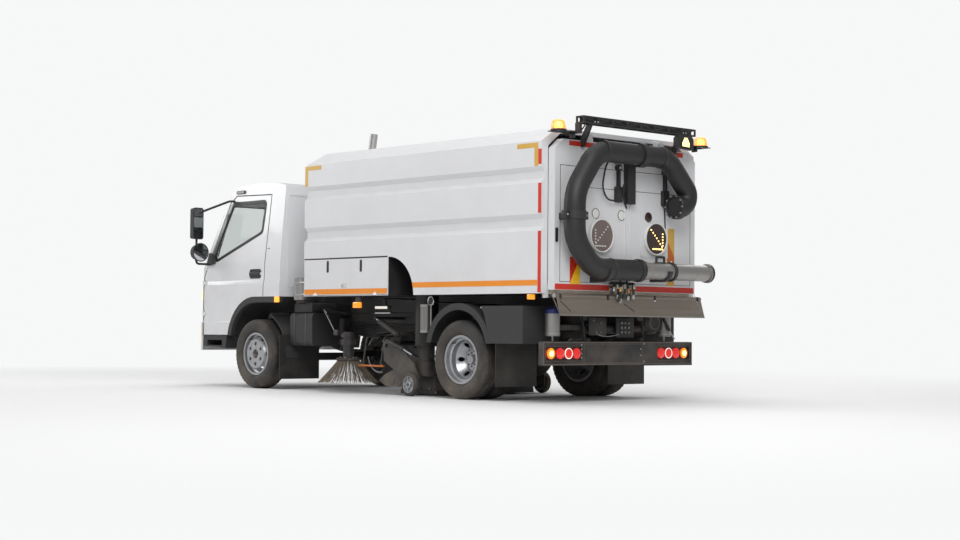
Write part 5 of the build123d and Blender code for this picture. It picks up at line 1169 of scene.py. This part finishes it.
class SWEEPER_OT_signal_lamps(bpy.types.Operator):
    """Arrow lamps with their rows of dots, lit beacons, the work lamp and the light bar's braces."""

    bl_idname = "sweeper.signal_lamps"
    bl_label = "Signal lamps"

    def execute(self, context):
        shape = Shape("pale_plate")
        disc = [(0, 0.15), (0.024, 0.15), (0.027, 0.1), (0.0275, 0)]
        bead = [(0.026, 0.0085), (0.03, 0.007), (0.0315, 0)]
        for sign, face, dot in ((1, "lamp_face", "pale_plate"), (-1, "dark_face", "lit_amber")):
            x, y, z = door_face - 0.004, sign * lamp_side, 1.565
            shape.use("pale_plate").ring((x, y, z), backward, 0.16, 0.146, 0.034, 64)
            shape.use(face).lathe(disc, (x, y, z), backward, 64)
            for out, up in self.arrow():
                shape.use(dot).lathe(bead, (x, y + sign * out, z + up), backward, 12)
            self.beacon(shape, sign)
        housing = [(-0.735, 2.44), (-0.5, 2.455), (-0.5, 2.545), (-0.53, 2.578), (-0.7, 2.578),
                   (-0.735, 2.545)]
        shape.use("chassis_paint").rear_sheet(housing, -1.368, -0.058)
        opening = [(-0.675, 2.458), (-0.555, 2.464), (-0.555, 2.505), (-0.59, 2.56), (-0.64, 2.56),
                   (-0.675, 2.505)]
        shape.border(opening, 0.004, -0.006, -1.424, -0.008)
        shape.use("lit_yellow").rear_sheet(grow(opening, -0.006), -1.426, -0.003)
        shape.done("signal_lamps_lit", "tailgate", stands_for=("signal_lamps",))
        self.lattice()
        return {"FINISHED"}

    def arrow(self):
        """Dots of an arrow that points down and outwards, as (outward, up)."""
        slope = [(0.026 * n - 0.075, 0.085 - 0.026 * n) for n in range(7)]
        column = [(0.09, 0.05 - 0.028 * n) for n in range(5)]
        foot = [(0.085 - 0.022 * n, -0.098) for n in range(7)]
        return slope + column + foot

    def beacon(self, shape, sign):
        """A beacon's foot, its ribbed lens and the lit core inside."""
        middle = (-1.29, sign * 1.0, 2.498)
        foot = [(0, 0), (0, 0.074), (0.012, 0.074), (0.016, 0.07), (0.016, 0)]
        lens = [(0.016, 0), (0.016, 0.067), (0.021, 0.07), (0.026, 0.0675), (0.036, 0.069), (0.041, 0.0665),
                (0.052, 0.068), (0.057, 0.0655), (0.074, 0.064), (0.09, 0.057), (0.1, 0.042), (0.1055, 0.02),
                (0.1065, 0)]
        core = [(0.018, 0), (0.018, 0.034), (0.056, 0.04), (0.08, 0.03), (0.088, 0)]
        shape.use("chassis_paint").lathe(foot, middle, upward, 40)
        shape.use("beacon_lens").lathe(lens, middle, upward, 48)
        shape.use("lit_amber").lathe(core, middle, upward, 32)

    def lattice(self):
        """Braces, a dark mesh sheet and brackets of the light bar."""
        shape = Shape("chassis_paint")
        shape.slab((-1.352, -1.348), (0.0, 0.786), (2.588, 2.642), 0.001)
        pitch = 0.195
        for number in range(8):
            y = -0.78 + number * pitch
            for way in (0, 1):
                start, end = (y, y + pitch) if (number + way) % 2 else (y + pitch, y)
                x = -1.398 + way * 0.09
                shape.rod((x, start, 2.59), (x, end, 2.64), 0.005, 8)
        for sign in (1, -1):
            shape.use("chassis_paint").slab((-1.36, -1.3), (sign * 0.86, 0.012), (2.44, 2.495), 0.004)
            shape.tube([(-1.3, sign * 1.0, 2.488), (-1.32, sign * 0.9, 2.478), (-1.34, sign * 0.78, 2.5),
                        (-1.34, sign * 0.7, 2.575)], 0.007, 8)
            places = [(-1.405, sign * y, 2.6) for y in (0.64, 0.6)]
            shape.use("bare_steel").bolts(places, backward, 0.009, 0.006)
        shape.done("light_bar_braces", "tailgate")


class SWEEPER_OT_rear_bumper(bpy.types.Operator):
    """Tail lamps with their lenses, the bumper's edges with a painted highlight, centre panel and bolts."""

    bl_idname = "sweeper.rear_bumper"
    bl_label = "Rear bumper details"

    def execute(self, context):
        shape = Shape("red_lens")
        dome = [(-0.004, 0.0522), (0.003, 0.0522), (0.008, 0.044), (0.0105, 0.025), (0.011, 0)]
        inner_lens = [(0, 0), (0, 0.043), (0.006, 0.043), (0.008, 0)]
        bulb = [(0.0098, 0.028), (0.0115, 0.026), (0.0125, 0)]
        for sign in (1, -1):
            ringed, *plain, turn = [(-1.142, sign * y, 0.46) for y in (0.7, 0.59, 0.81, 0.93)]
            shape.use("lit_white").ring(ringed, backward, 0.0522, 0.043, 0.009, 40)
            shape.use("red_lens").lathe(inner_lens, ringed, backward, 32)
            for middle in plain:
                shape.use("red_lens").lathe(dome, middle, backward, 40)
            shape.use("amber_lens").lathe(dome, turn, backward, 40)
            shape.use("lit_amber").lathe(bulb, turn, backward, 24)
            for middle in (*plain, turn):
                shape.use("black_plastic").ring(middle, backward, 0.0545, 0.0505, 0.004, 40)
        shape.done("tail_lamp_lenses", "chassis")
        shape = Shape("bumper_edge")
        self.edges(shape)
        self.frame_end(shape)
        shape.done("rear_bumper_trim", "chassis")
        return {"FINISHED"}

    def edges(self, shape):
        """Raised edges of the bumper, its centre panel and lamp boards, lighter as a painted highlight,
        their bolts and a lower lip.
        """
        shape.border(oblong(1.04, -1.04, 0.352, 0.569), 0.0, -0.012, bumper_face, -0.006)
        shape.border(oblong(0.504, -0.312, 0.37, 0.55), 0.0, -0.005, bumper_face, -0.004)
        for sign in (1, -1):
            board = oblong(sign * 1.015, sign * 0.525, 0.388, 0.532)
            shape.border(board, 0.0, -0.006, bumper_face + 0.002, -0.004)
        bolts = ((0.535, 0.42), (0.535, 0.46), (0.535, 0.5), (0.535, 0.54), (-0.285, 0.44), (-0.285, 0.5),
                 (-0.335, 0.55), (-0.335, 0.38))
        shape.use("bare_steel").bolts(in_rear(bolts, bumper_face - 0.001), backward, 0.008, 0.006)
        shape.use("chassis_paint").block((-1.162, -0.36, 0.34), (-1.1, -1.035, 0.356), 0.003)

    def frame_end(self, shape):
        """What shows between the bumper and the chute: end plates with bolts, a drum and pipes."""
        plate_face = -1.078
        for across, low in (((-0.145, 0.125), 0.61), ((0.24, 0.12), 0.63)):
            shape.use("chassis_paint").slab((plate_face, -1.062), across, (low, 0.8), 0.004)
        grid = [(y, z) for y in (-0.09, -0.14, -0.19) for z in (0.66, 0.705, 0.75)]
        shape.use("bare_steel").bolts(in_rear(grid, plate_face), backward, 0.011, 0.008)
        bolts = ((0.2, 0.66), (0.26, 0.66), (0.2, 0.75), (0.3, 0.77))
        shape.bolts(in_rear(bolts, plate_face), backward, 0.008, 0.006)
        drum = [(0, 0), (0, 0.09), (0.03, 0.115), (0.2, 0.115), (0.23, 0.09), (0.23, 0)]
        shape.use("chassis_paint").lathe(drum, (-1.07, -0.58, 0.76), forward, 48)
        # A lighter ring on the drum, as a painted highlight.
        shape.use("bumper_edge").ring((-1.073, -0.58, 0.76), forward, 0.075, 0.06, 0.012, 40)
        for look, radius, points in (
            ("chassis_paint", 0.008, [(-1.05, 0.45, 0.8), (-1.08, 0.44, 0.7), (-1.09, 0.43, 0.62),
                                      (-1.08, 0.42, 0.585)]),
            ("chassis_paint", 0.016, [(-1.07, -0.7, 0.8), (-1.1, -0.72, 0.74), (-1.11, -0.75, 0.68)]),
            ("bare_steel", 0.007, [(-1.11, -0.75, 0.68), (-1.12, -0.79, 0.62), (-1.13, -0.81, 0.6)]),
            ("bare_steel", 0.006, [(-1.05, 0.35, 0.72), (-1.075, 0.24, 0.64), (-1.08, 0.1, 0.62),
                                   (-1.075, -0.05, 0.64)]),
        ):
            shape.use(look).tube(points, radius)


class SWEEPER_OT_chute_trim(bpy.types.Operator):
    """Dark strips for the tail chute's slots, which are painted shade, and bare steel strips on its edges,
    which are painted highlights.
    """

    bl_idname = "sweeper.chute_trim"
    bl_label = "Chute trim"

    def execute(self, context):
        shape = Shape("dark_face")
        # Dark strips laid on the slope where the slots are: painted shade.
        for (start, high), (end, low) in (((0.98, 0.946), (0.864, 0.848)), ((0.126, 0.93), (0.002, 0.859))):
            slot = [(start, high + 0.006), (start, high - 0.006), (end, low - 0.006), (end, low + 0.006)]
            shape.prism(self.on_slope(slot, -0.001), (-0.0025, 0, 0))
        # Bare steel strips along the chute's lower edge and its right-hand plate: painted highlights.
        shape.use("bare_steel").prism(self.on_slope(oblong(1.008, -1.008, 0.812, 0.818)), (-0.003, 0, 0))
        for y, z, end_y, end_z in ((-0.86, 0.925, -0.955, 0.825), (-0.93, 0.95, -1.0, 0.83)):
            strip = [(y, z), (y - 0.006, z), (end_y - 0.006, end_z), (end_y, end_z)]
            shape.prism(self.on_slope(strip), (-0.002, 0, 0))
        for sign in (1, -1):
            shape.lathe([(0, 0), (0, 0.02), (0.008, 0.02), (0.012, 0.014), (0.012, 0)],
                        (-1.268, sign * 1.0145, 0.992), (0, sign, 0), 24)
        shape.done("chute_trim", "chute")
        return {"FINISHED"}

    def on_slope(self, loop, out=0.0):
        """Rear-view points laid on the chute's sloping back, moved out from it."""
        top, lean = (-1.288, 0.992), 0.055 / 0.182
        return [(top[0] - lean * (top[1] - z) - out, y, z) for y, z in loop]


tufts = 26
tuft_wires = 12


class SWEEPER_OT_brushes(bpy.types.Operator):
    """Side brushes with tufts of bent wire."""

    bl_idname = "sweeper.brushes"
    bl_label = "Brushes"

    def execute(self, context):
        for name, sign in sides:
            x, y, z = brush_centre
            middle = (x, sign * y)
            shape = Shape("chassis_paint")
            disc = [(0, 0), (0, 0.122), (0.006, 0.13), (0.024, 0.13), (0.03, 0.12), (0.03, 0)]
            shape.lathe(disc, (*middle, z), upward, 48)
            bolts = [(*place, z + 0.03) for place in circle(middle, 0.085, 6)]
            shape.use("bare_steel").bolts(bolts, upward, 0.01, 0.008)
            shape.use("bristle_wire")
            for number in range(tufts * tuft_wires):
                self.wire(shape, middle, number)
            shape.done(f"brush_wires_{name}", f"brush_{name}",
                       stands_for=(f"side_brush_{name}",))
        return {"FINISHED"}

    def wire(self, shape, middle, number):
        """One bent wire, strayed a little from the middle of its tuft."""
        angle = 2 * math.pi * (number // tuft_wires) / tufts + (scatter(number) - 0.5) * 0.16
        root = 0.101 + 0.014 * scatter(number + 0.3)
        foot = 0.275 + 0.05 * scatter(number + 0.6)
        spread = angle + (scatter(number + 0.8) - 0.5) * 0.14
        bends = ((root, angle, 0.338), (root + (foot - root) * 0.42, angle, 0.235),
                 (foot, spread, 0.102 + 0.012 * scatter(number + 0.1)))
        points = [(middle[0] + r * math.cos(a), middle[1] + r * math.sin(a), z) for r, a, z in bends]
        shape.tube(points, sizes().wire_radius, 4, 2, end_radius=sizes().wire_radius * 0.6)


class SWEEPER_OT_underbody(bpy.types.Operator):
    """Cylinders, rods, lamps, pipes and boxes along the frame and on the pick-up head."""

    bl_idname = "sweeper.underbody"
    bl_label = "Underbody"

    def execute(self, context):
        shape = Shape("chassis_paint")
        for sign in (1, -1):
            self.rods(shape, sign)
            self.plates(shape, sign)
            self.round_pieces(shape, sign)
        self.ringed_cap(shape)
        self.behind_cab(shape)
        shape.done("underbody", "chassis")
        self.head()
        return {"FINISHED"}

    def rods(self, shape, sign):
        """The brush arm's stay, the head's lift cylinder, hangers of the orange guard and fender stays."""
        y, rail, guard, stay = sign * 0.8, sign * rail_side, sign * 0.85, sign * 1.052
        hangers = [("chassis_paint", *ends, 0.009) for x in (1.42, 1.71)
                   for ends in (((x, guard, 0.29), (x, y, 0.58)), ((x, y, 0.58), (x, sign * 0.42, 0.64)))]
        for look, start, end, radius in (
            ("chrome", (2.446, y, 0.871), (2.252, y, 0.639), 0.009),
            ("chassis_paint", (2.446, y, 0.871), (2.446, rail, 0.82), 0.014),
            ("chassis_paint", (1.503, y, 0.757), (1.203, y, 0.613), 0.032),
            ("chrome", (1.56, y, 0.784), (1.503, y, 0.757), 0.014),
            ("chassis_paint", (1.56, rail, 0.784), (1.56, y + sign * 0.02, 0.784), 0.016),
            ("chassis_paint", (1.203, rail, 0.613), (1.203, y + sign * 0.02, 0.613), 0.018),
            *hangers,
            ("bare_steel", (-0.435, stay, 0.889), (-0.536, stay, 0.709), 0.006),
            ("bare_steel", (-0.749, stay, 0.852), (-0.841, stay, 0.701), 0.006),
            ("bare_steel", (-0.32, sign * 1.053, 0.885), (-0.86, sign * 1.053, 0.862), 0.007),
            ("bare_steel", (-1.01, sign * 0.78, 0.62), (-1.01, sign * 0.78, 0.575), 0.009),
        ):
            shape.use(look).rod(start, end, radius)

    def plates(self, shape, sign):
        """Lugs, the side lamp with its bracket, the orange guard, the battery box and the tank straps."""
        for look, along, across, up, bevel in (
            ("chassis_paint", (2.2, 2.27), (sign * 0.8, 0.012), (0.6, 0.66), 0.006),
            ("black_plastic", (1.22, 1.434), (sign * 0.9 - 0.002, 0.028), (0.872, 0.912), 0.012),
            ("lit_white", (1.23, 1.424), (sign * 0.927, 0.003), (0.879, 0.905), 0.003),
            ("chassis_paint", (1.3, 1.35), (sign * 0.88, 0.01), (0.905, 0.99), 0.003),
            ("chassis_paint", (1.3, 1.35), (sign * 0.66, 0.23), (0.978, 0.992), 0.003),
            ("chassis_paint", (1.31, 1.34), (sign * 0.44, 0.01), (0.77, 0.985), 0.003),
            ("dark_orange_tape", (1.364, 1.775), (sign * 0.85, 0.012), (0.28, 0.3), 0.004),
            ("black_plastic", (2.6, 2.93), (sign * 0.68, 0.17), (0.842, 0.95), 0.02),
            ("chassis_paint", (2.66, 2.69), (sign * 0.875, 0.003), (0.49, 0.83), 0.002),
            ("chassis_paint", (2.86, 2.89), (sign * 0.875, 0.003), (0.49, 0.83), 0.002),
        ):
            shape.use(look).slab(along, across, up, bevel)

    def round_pieces(self, shape, sign):
        """The blue cap of the rear drum, the tank's filler cap and the pipes along the rail."""
        blue_cap = [(0, 0.072), (0.03, 0.072), (0.05, 0.06), (0.06, 0.04), (0.06, 0)]
        shape.use("blue_plastic").lathe(blue_cap, (-1.01, sign * 0.78, 0.83), upward, 40)
        shape.use("bare_steel").ring((-1.01, sign * 0.78, 0.638), upward, 0.0725, 0.066, 0.012, 40)
        filler = [(0, 0), (0, 0.034), (0.02, 0.034), (0.026, 0.028), (0.026, 0)]
        shape.lathe(filler, (2.76, sign * 0.8, 0.95), upward, 32)
        shape.use("black_rubber")
        waves = ((-0.95, 0.0), (0.1, 0.01), (1.0, -0.012), (2.1, 0.008), (2.5, 0.0))
        for y, z, radius in ((0.438, 0.72, 0.011), (0.442, 0.69, 0.008), (0.446, 0.66, 0.007)):
            shape.tube([(x, sign * y, z + wave) for x, wave in waves], radius, 8)

    def ringed_cap(self, shape):
        """The cap with a bright ring on its stalk, ahead of the left rear wheel."""
        middle = (0.501, 0.955, 0.955)
        shape.use("chrome").ring(middle, leftward, 0.048, 0.036, 0.02, 40)
        cap = [(0, 0), (0, 0.037), (0.014, 0.037), (0.014, 0)]
        shape.use("black_plastic").lathe(cap, middle, leftward, 40)
        shape.use("bare_steel").rod((0.501, 0.965, 0.91), (0.501, 0.965, 0.6), 0.007)
        shape.use("chassis_paint").block((0.48, 0.93, 0.93), (0.53, 0.957, 0.985), 0.004)
        shape.block((0.49, 0.43, 0.936), (0.52, 0.94, 0.95), 0.003)
        shape.block((0.49, 0.425, 0.77), (0.52, 0.44, 0.95), 0.003)

    def behind_cab(self, shape):
        """Air filter, its intake and the pipes between the cab and the hopper."""
        for look, along, across, up, bevel in (
            ("black_plastic", (2.62, 2.94), (0.37, 0.31), (0.83, 1.27), 0.03),
            ("black_plastic", (2.615, 2.945), (0.37, 0.29), (0.93, 0.95), 0.006),
            ("black_plastic", (2.615, 2.945), (0.37, 0.29), (1.03, 1.05), 0.006),
            ("black_plastic", (2.615, 2.945), (0.37, 0.29), (1.13, 1.15), 0.006),
            ("chassis_paint", (2.66, 2.9), (0.0, 0.42), (0.782, 0.84), 0.008),
            ("chassis_paint", (2.7, 2.86), (-0.54, 0.14), (0.8, 0.832), 0.006),
            ("chassis_paint", (2.72, 2.86), (0.785, 0.085), (0.95, 0.982), 0.004),
        ):
            shape.use(look).slab(along, across, up, bevel)
        shape.use("black_rubber").tube([(2.78, 0.3, 1.26), (2.78, 0.3, 1.42), (2.82, 0.1, 1.5),
                                        (2.84, -0.15, 1.5)], 0.06, 20)
        silencer = [(0, 0), (0, 0.11), (0.02, 0.12), (0.42, 0.12), (0.44, 0.11), (0.44, 0)]
        shape.use("cast_iron").lathe(silencer, (2.78, -0.55, 0.83), upward, 48)
        for z in (0.92, 1.14):
            shape.use("bare_steel").ring((2.78, -0.55, z), upward, 0.124, 0.118, 0.02, 48)
        for z in (1.03, 1.16):
            shape.use("chrome").ring((2.79, 0.86, z), upward, 0.0775, 0.07, 0.014, 48)

    def head(self):
        """Lift cylinders and rubber skirts of the pick-up head."""
        shape = Shape("chassis_paint")
        for sign in (1, -1):
            y = sign * 0.925
            shape.use("chassis_paint").rod((1.195, y, 0.546), (0.97, y, 0.472), 0.024)
            shape.rod((1.21, y - sign * 0.04, 0.551), (1.21, y + sign * 0.02, 0.551), 0.02)
            shape.use("chrome").rod((0.97, y, 0.472), (0.83, y, 0.418), 0.011)
            skirt = oblong(0.745, 1.27, 0.014, 0.06)
            shape.use("black_rubber").side_sheet(skirt, sign * 0.694, sign * 0.006)
            places = [(x, sign * 0.69, 0.075) for x in (0.82, 0.98, 1.14)]
            shape.use("bare_steel").bolts(places, (0, sign, 0), 0.009, 0.008)
        shape.use("black_rubber").rear_sheet(oblong(0.68, -0.68, 0.014, 0.06), 0.738, 0.005)
        shape.done("head_details", "head")


# Soft disc lights: name, place, size and power
lights = (
    ("key_light", (-9.0, 7.0, 8.5), 7.0, 800.0),
    ("front_light", (10.0, 6.0, 6.0), 6.0, 400.0),
    ("fill_light", (2.0, -11.0, 7.0), 8.0, 400.0),
    ("top_light", (0.0, 0.0, 10.0), 8.0, 450.0),
)


class SWEEPER_OT_stage(bpy.types.Operator):
    """Pale floor, soft studio light and the camera."""

    bl_idname = "sweeper.stage"
    bl_label = "Stage"

    def execute(self, context):
        scene = context.scene
        scene.view_settings.view_transform = "Standard"
        self.floor(scene)
        self.world(scene)
        for name, place, size, power in lights:
            data = bpy.data.lights.new(name, "AREA")
            data.shape = "DISK"
            data.size = size
            data.energy = power
            lamp = bpy.data.objects.new(name, data)
            lamp.location = place
            towards = Vector((0.0, 0.0, 1.0)) - Vector(place)
            lamp.rotation_euler = towards.to_track_quat("-Z", "Y").to_euler()
            scene.collection.objects.link(lamp)
        self.camera(scene)
        return {"FINISHED"}

    def floor(self, scene):
        """A wide floor that keeps the shadow and fades into the backdrop far out."""
        reach = 60.0
        data = bpy.data.meshes.new("studio_floor")
        corners = [(-reach, -reach, 0), (reach, -reach, 0), (reach, reach, 0), (-reach, reach, 0)]
        data.from_pydata(corners, [], [(0, 1, 2, 3)])
        floor = bpy.data.objects.new("studio_floor", data)
        scene.collection.objects.link(floor)
        made = bpy.data.materials.new("studio_floor")
        made.use_nodes = True
        tree = made.node_tree
        build_finish(tree, colours().floor, rough=0.8, grain=3.0, bump=0.0, shade=0.01, rough_spread=0.02)
        place = add_node(tree, "ShaderNodeTexCoord")
        far = add_node(tree, "ShaderNodeVectorMath", [(0, place.outputs["Object"])], operation="LENGTH")
        share = ramp(tree, far.outputs["Value"], 4.0, 13.0, interpolation_type="SMOOTHSTEP")
        seen = calculate(tree, "MULTIPLY", share, seen_directly(tree))
        glow = add_node(tree, "ShaderNodeEmission", [("Color", colours().backdrop), ("Strength", 1.0)])
        mix = add_node(tree, "ShaderNodeMixShader",
                       [(0, seen), (1, tree.nodes["Principled BSDF"].outputs[0]), (2, glow.outputs[0])])
        tree.links.new(mix.outputs[0], tree.nodes["Material Output"].inputs["Surface"])
        data.materials.append(made)

    def camera(self, scene):
        """The camera behind the left rear corner, near the ground."""
        data = bpy.data.cameras.new("camera")
        data.sensor_width = 36.0
        data.lens = 64.3
        data.clip_end = 200.0
        camera = bpy.data.objects.new("camera", data)
        heading, pitch, roll = math.radians(-42.6), math.radians(1.97), math.radians(0.495)
        turn = (Matrix.Rotation(heading - math.pi / 2, 3, "Z") @ Matrix.Rotation(math.pi / 2 + pitch, 3, "X")
                @ Matrix.Rotation(roll, 3, "Z"))
        camera.rotation_euler = turn.to_euler()
        camera.location = at((-12.3046, 12.0884, 0.6807))
        scene.collection.objects.link(camera)
        scene.camera = camera

    def world(self, scene):
        """Even light from all round, and a plain backdrop behind the object."""
        world = bpy.data.worlds.new("studio_world")
        scene.world = world
        world.use_nodes = True
        tree = world.node_tree
        light = tree.nodes["Background"]
        light.inputs["Color"].default_value = (1.0, 1.0, 1.0, 1.0)
        light.inputs["Strength"].default_value = 0.4
        seen = add_node(tree, "ShaderNodeBackground", [("Color", colours().backdrop)])
        mix = add_node(tree, "ShaderNodeMixShader",
                       [(0, seen_directly(tree)), (1, light.outputs[0]), (2, seen.outputs[0])])
        tree.links.new(mix.outputs[0], tree.nodes["World Output"].inputs["Surface"])


def seen_directly(tree):
    """A value of one for rays that come from the camera or through glass."""
    path = add_node(tree, "ShaderNodeLightPath")
    return calculate(tree, "MAXIMUM", path.outputs["Is Camera Ray"], path.outputs["Is Transmission Ray"])


class SWEEPER_PT_panel(bpy.types.Panel):
    """Lists the steps and the values that can be changed."""

    bl_label = "Street sweeper truck"
    bl_idname = "SWEEPER_PT_panel"
    bl_space_type = "VIEW_3D"
    bl_region_type = "UI"
    bl_category = "Sweeper"

    def draw(self, context):
        column = self.layout.column()
        for step in steps:
            column.operator(step.bl_idname)
        for group in (sizes(), colours()):
            for key in group.bl_rna.properties.keys():
                if key not in ("rna_type", "name"):
                    column.prop(group, key)


steps = (SWEEPER_OT_finishes, SWEEPER_OT_tyres, SWEEPER_OT_wheels, SWEEPER_OT_cab_trim,
         SWEEPER_OT_door_trim, SWEEPER_OT_side_tapes, SWEEPER_OT_rear_door, SWEEPER_OT_hose_details,
         SWEEPER_OT_signal_lamps, SWEEPER_OT_rear_bumper, SWEEPER_OT_chute_trim, SWEEPER_OT_brushes,
         SWEEPER_OT_underbody, SWEEPER_OT_stage)
classes = (SweeperColours, SweeperSizes, *steps, SWEEPER_PT_panel)


def register():
    for kind in classes:
        bpy.utils.register_class(kind)
    bpy.types.Scene.sweeper_colours = bpy.props.PointerProperty(type=SweeperColours)
    bpy.types.Scene.sweeper_sizes = bpy.props.PointerProperty(type=SweeperSizes)


def unregister():
    del bpy.types.Scene.sweeper_sizes
    del bpy.types.Scene.sweeper_colours
    for kind in reversed(classes):
        bpy.utils.unregister_class(kind)


def main():
    """Builds the looks step by step."""
    register()
    for step in steps:
        group, name = step.bl_idname.split(".")
        getattr(getattr(bpy.ops, group), name)()


if __name__ == "__main__":
    main()
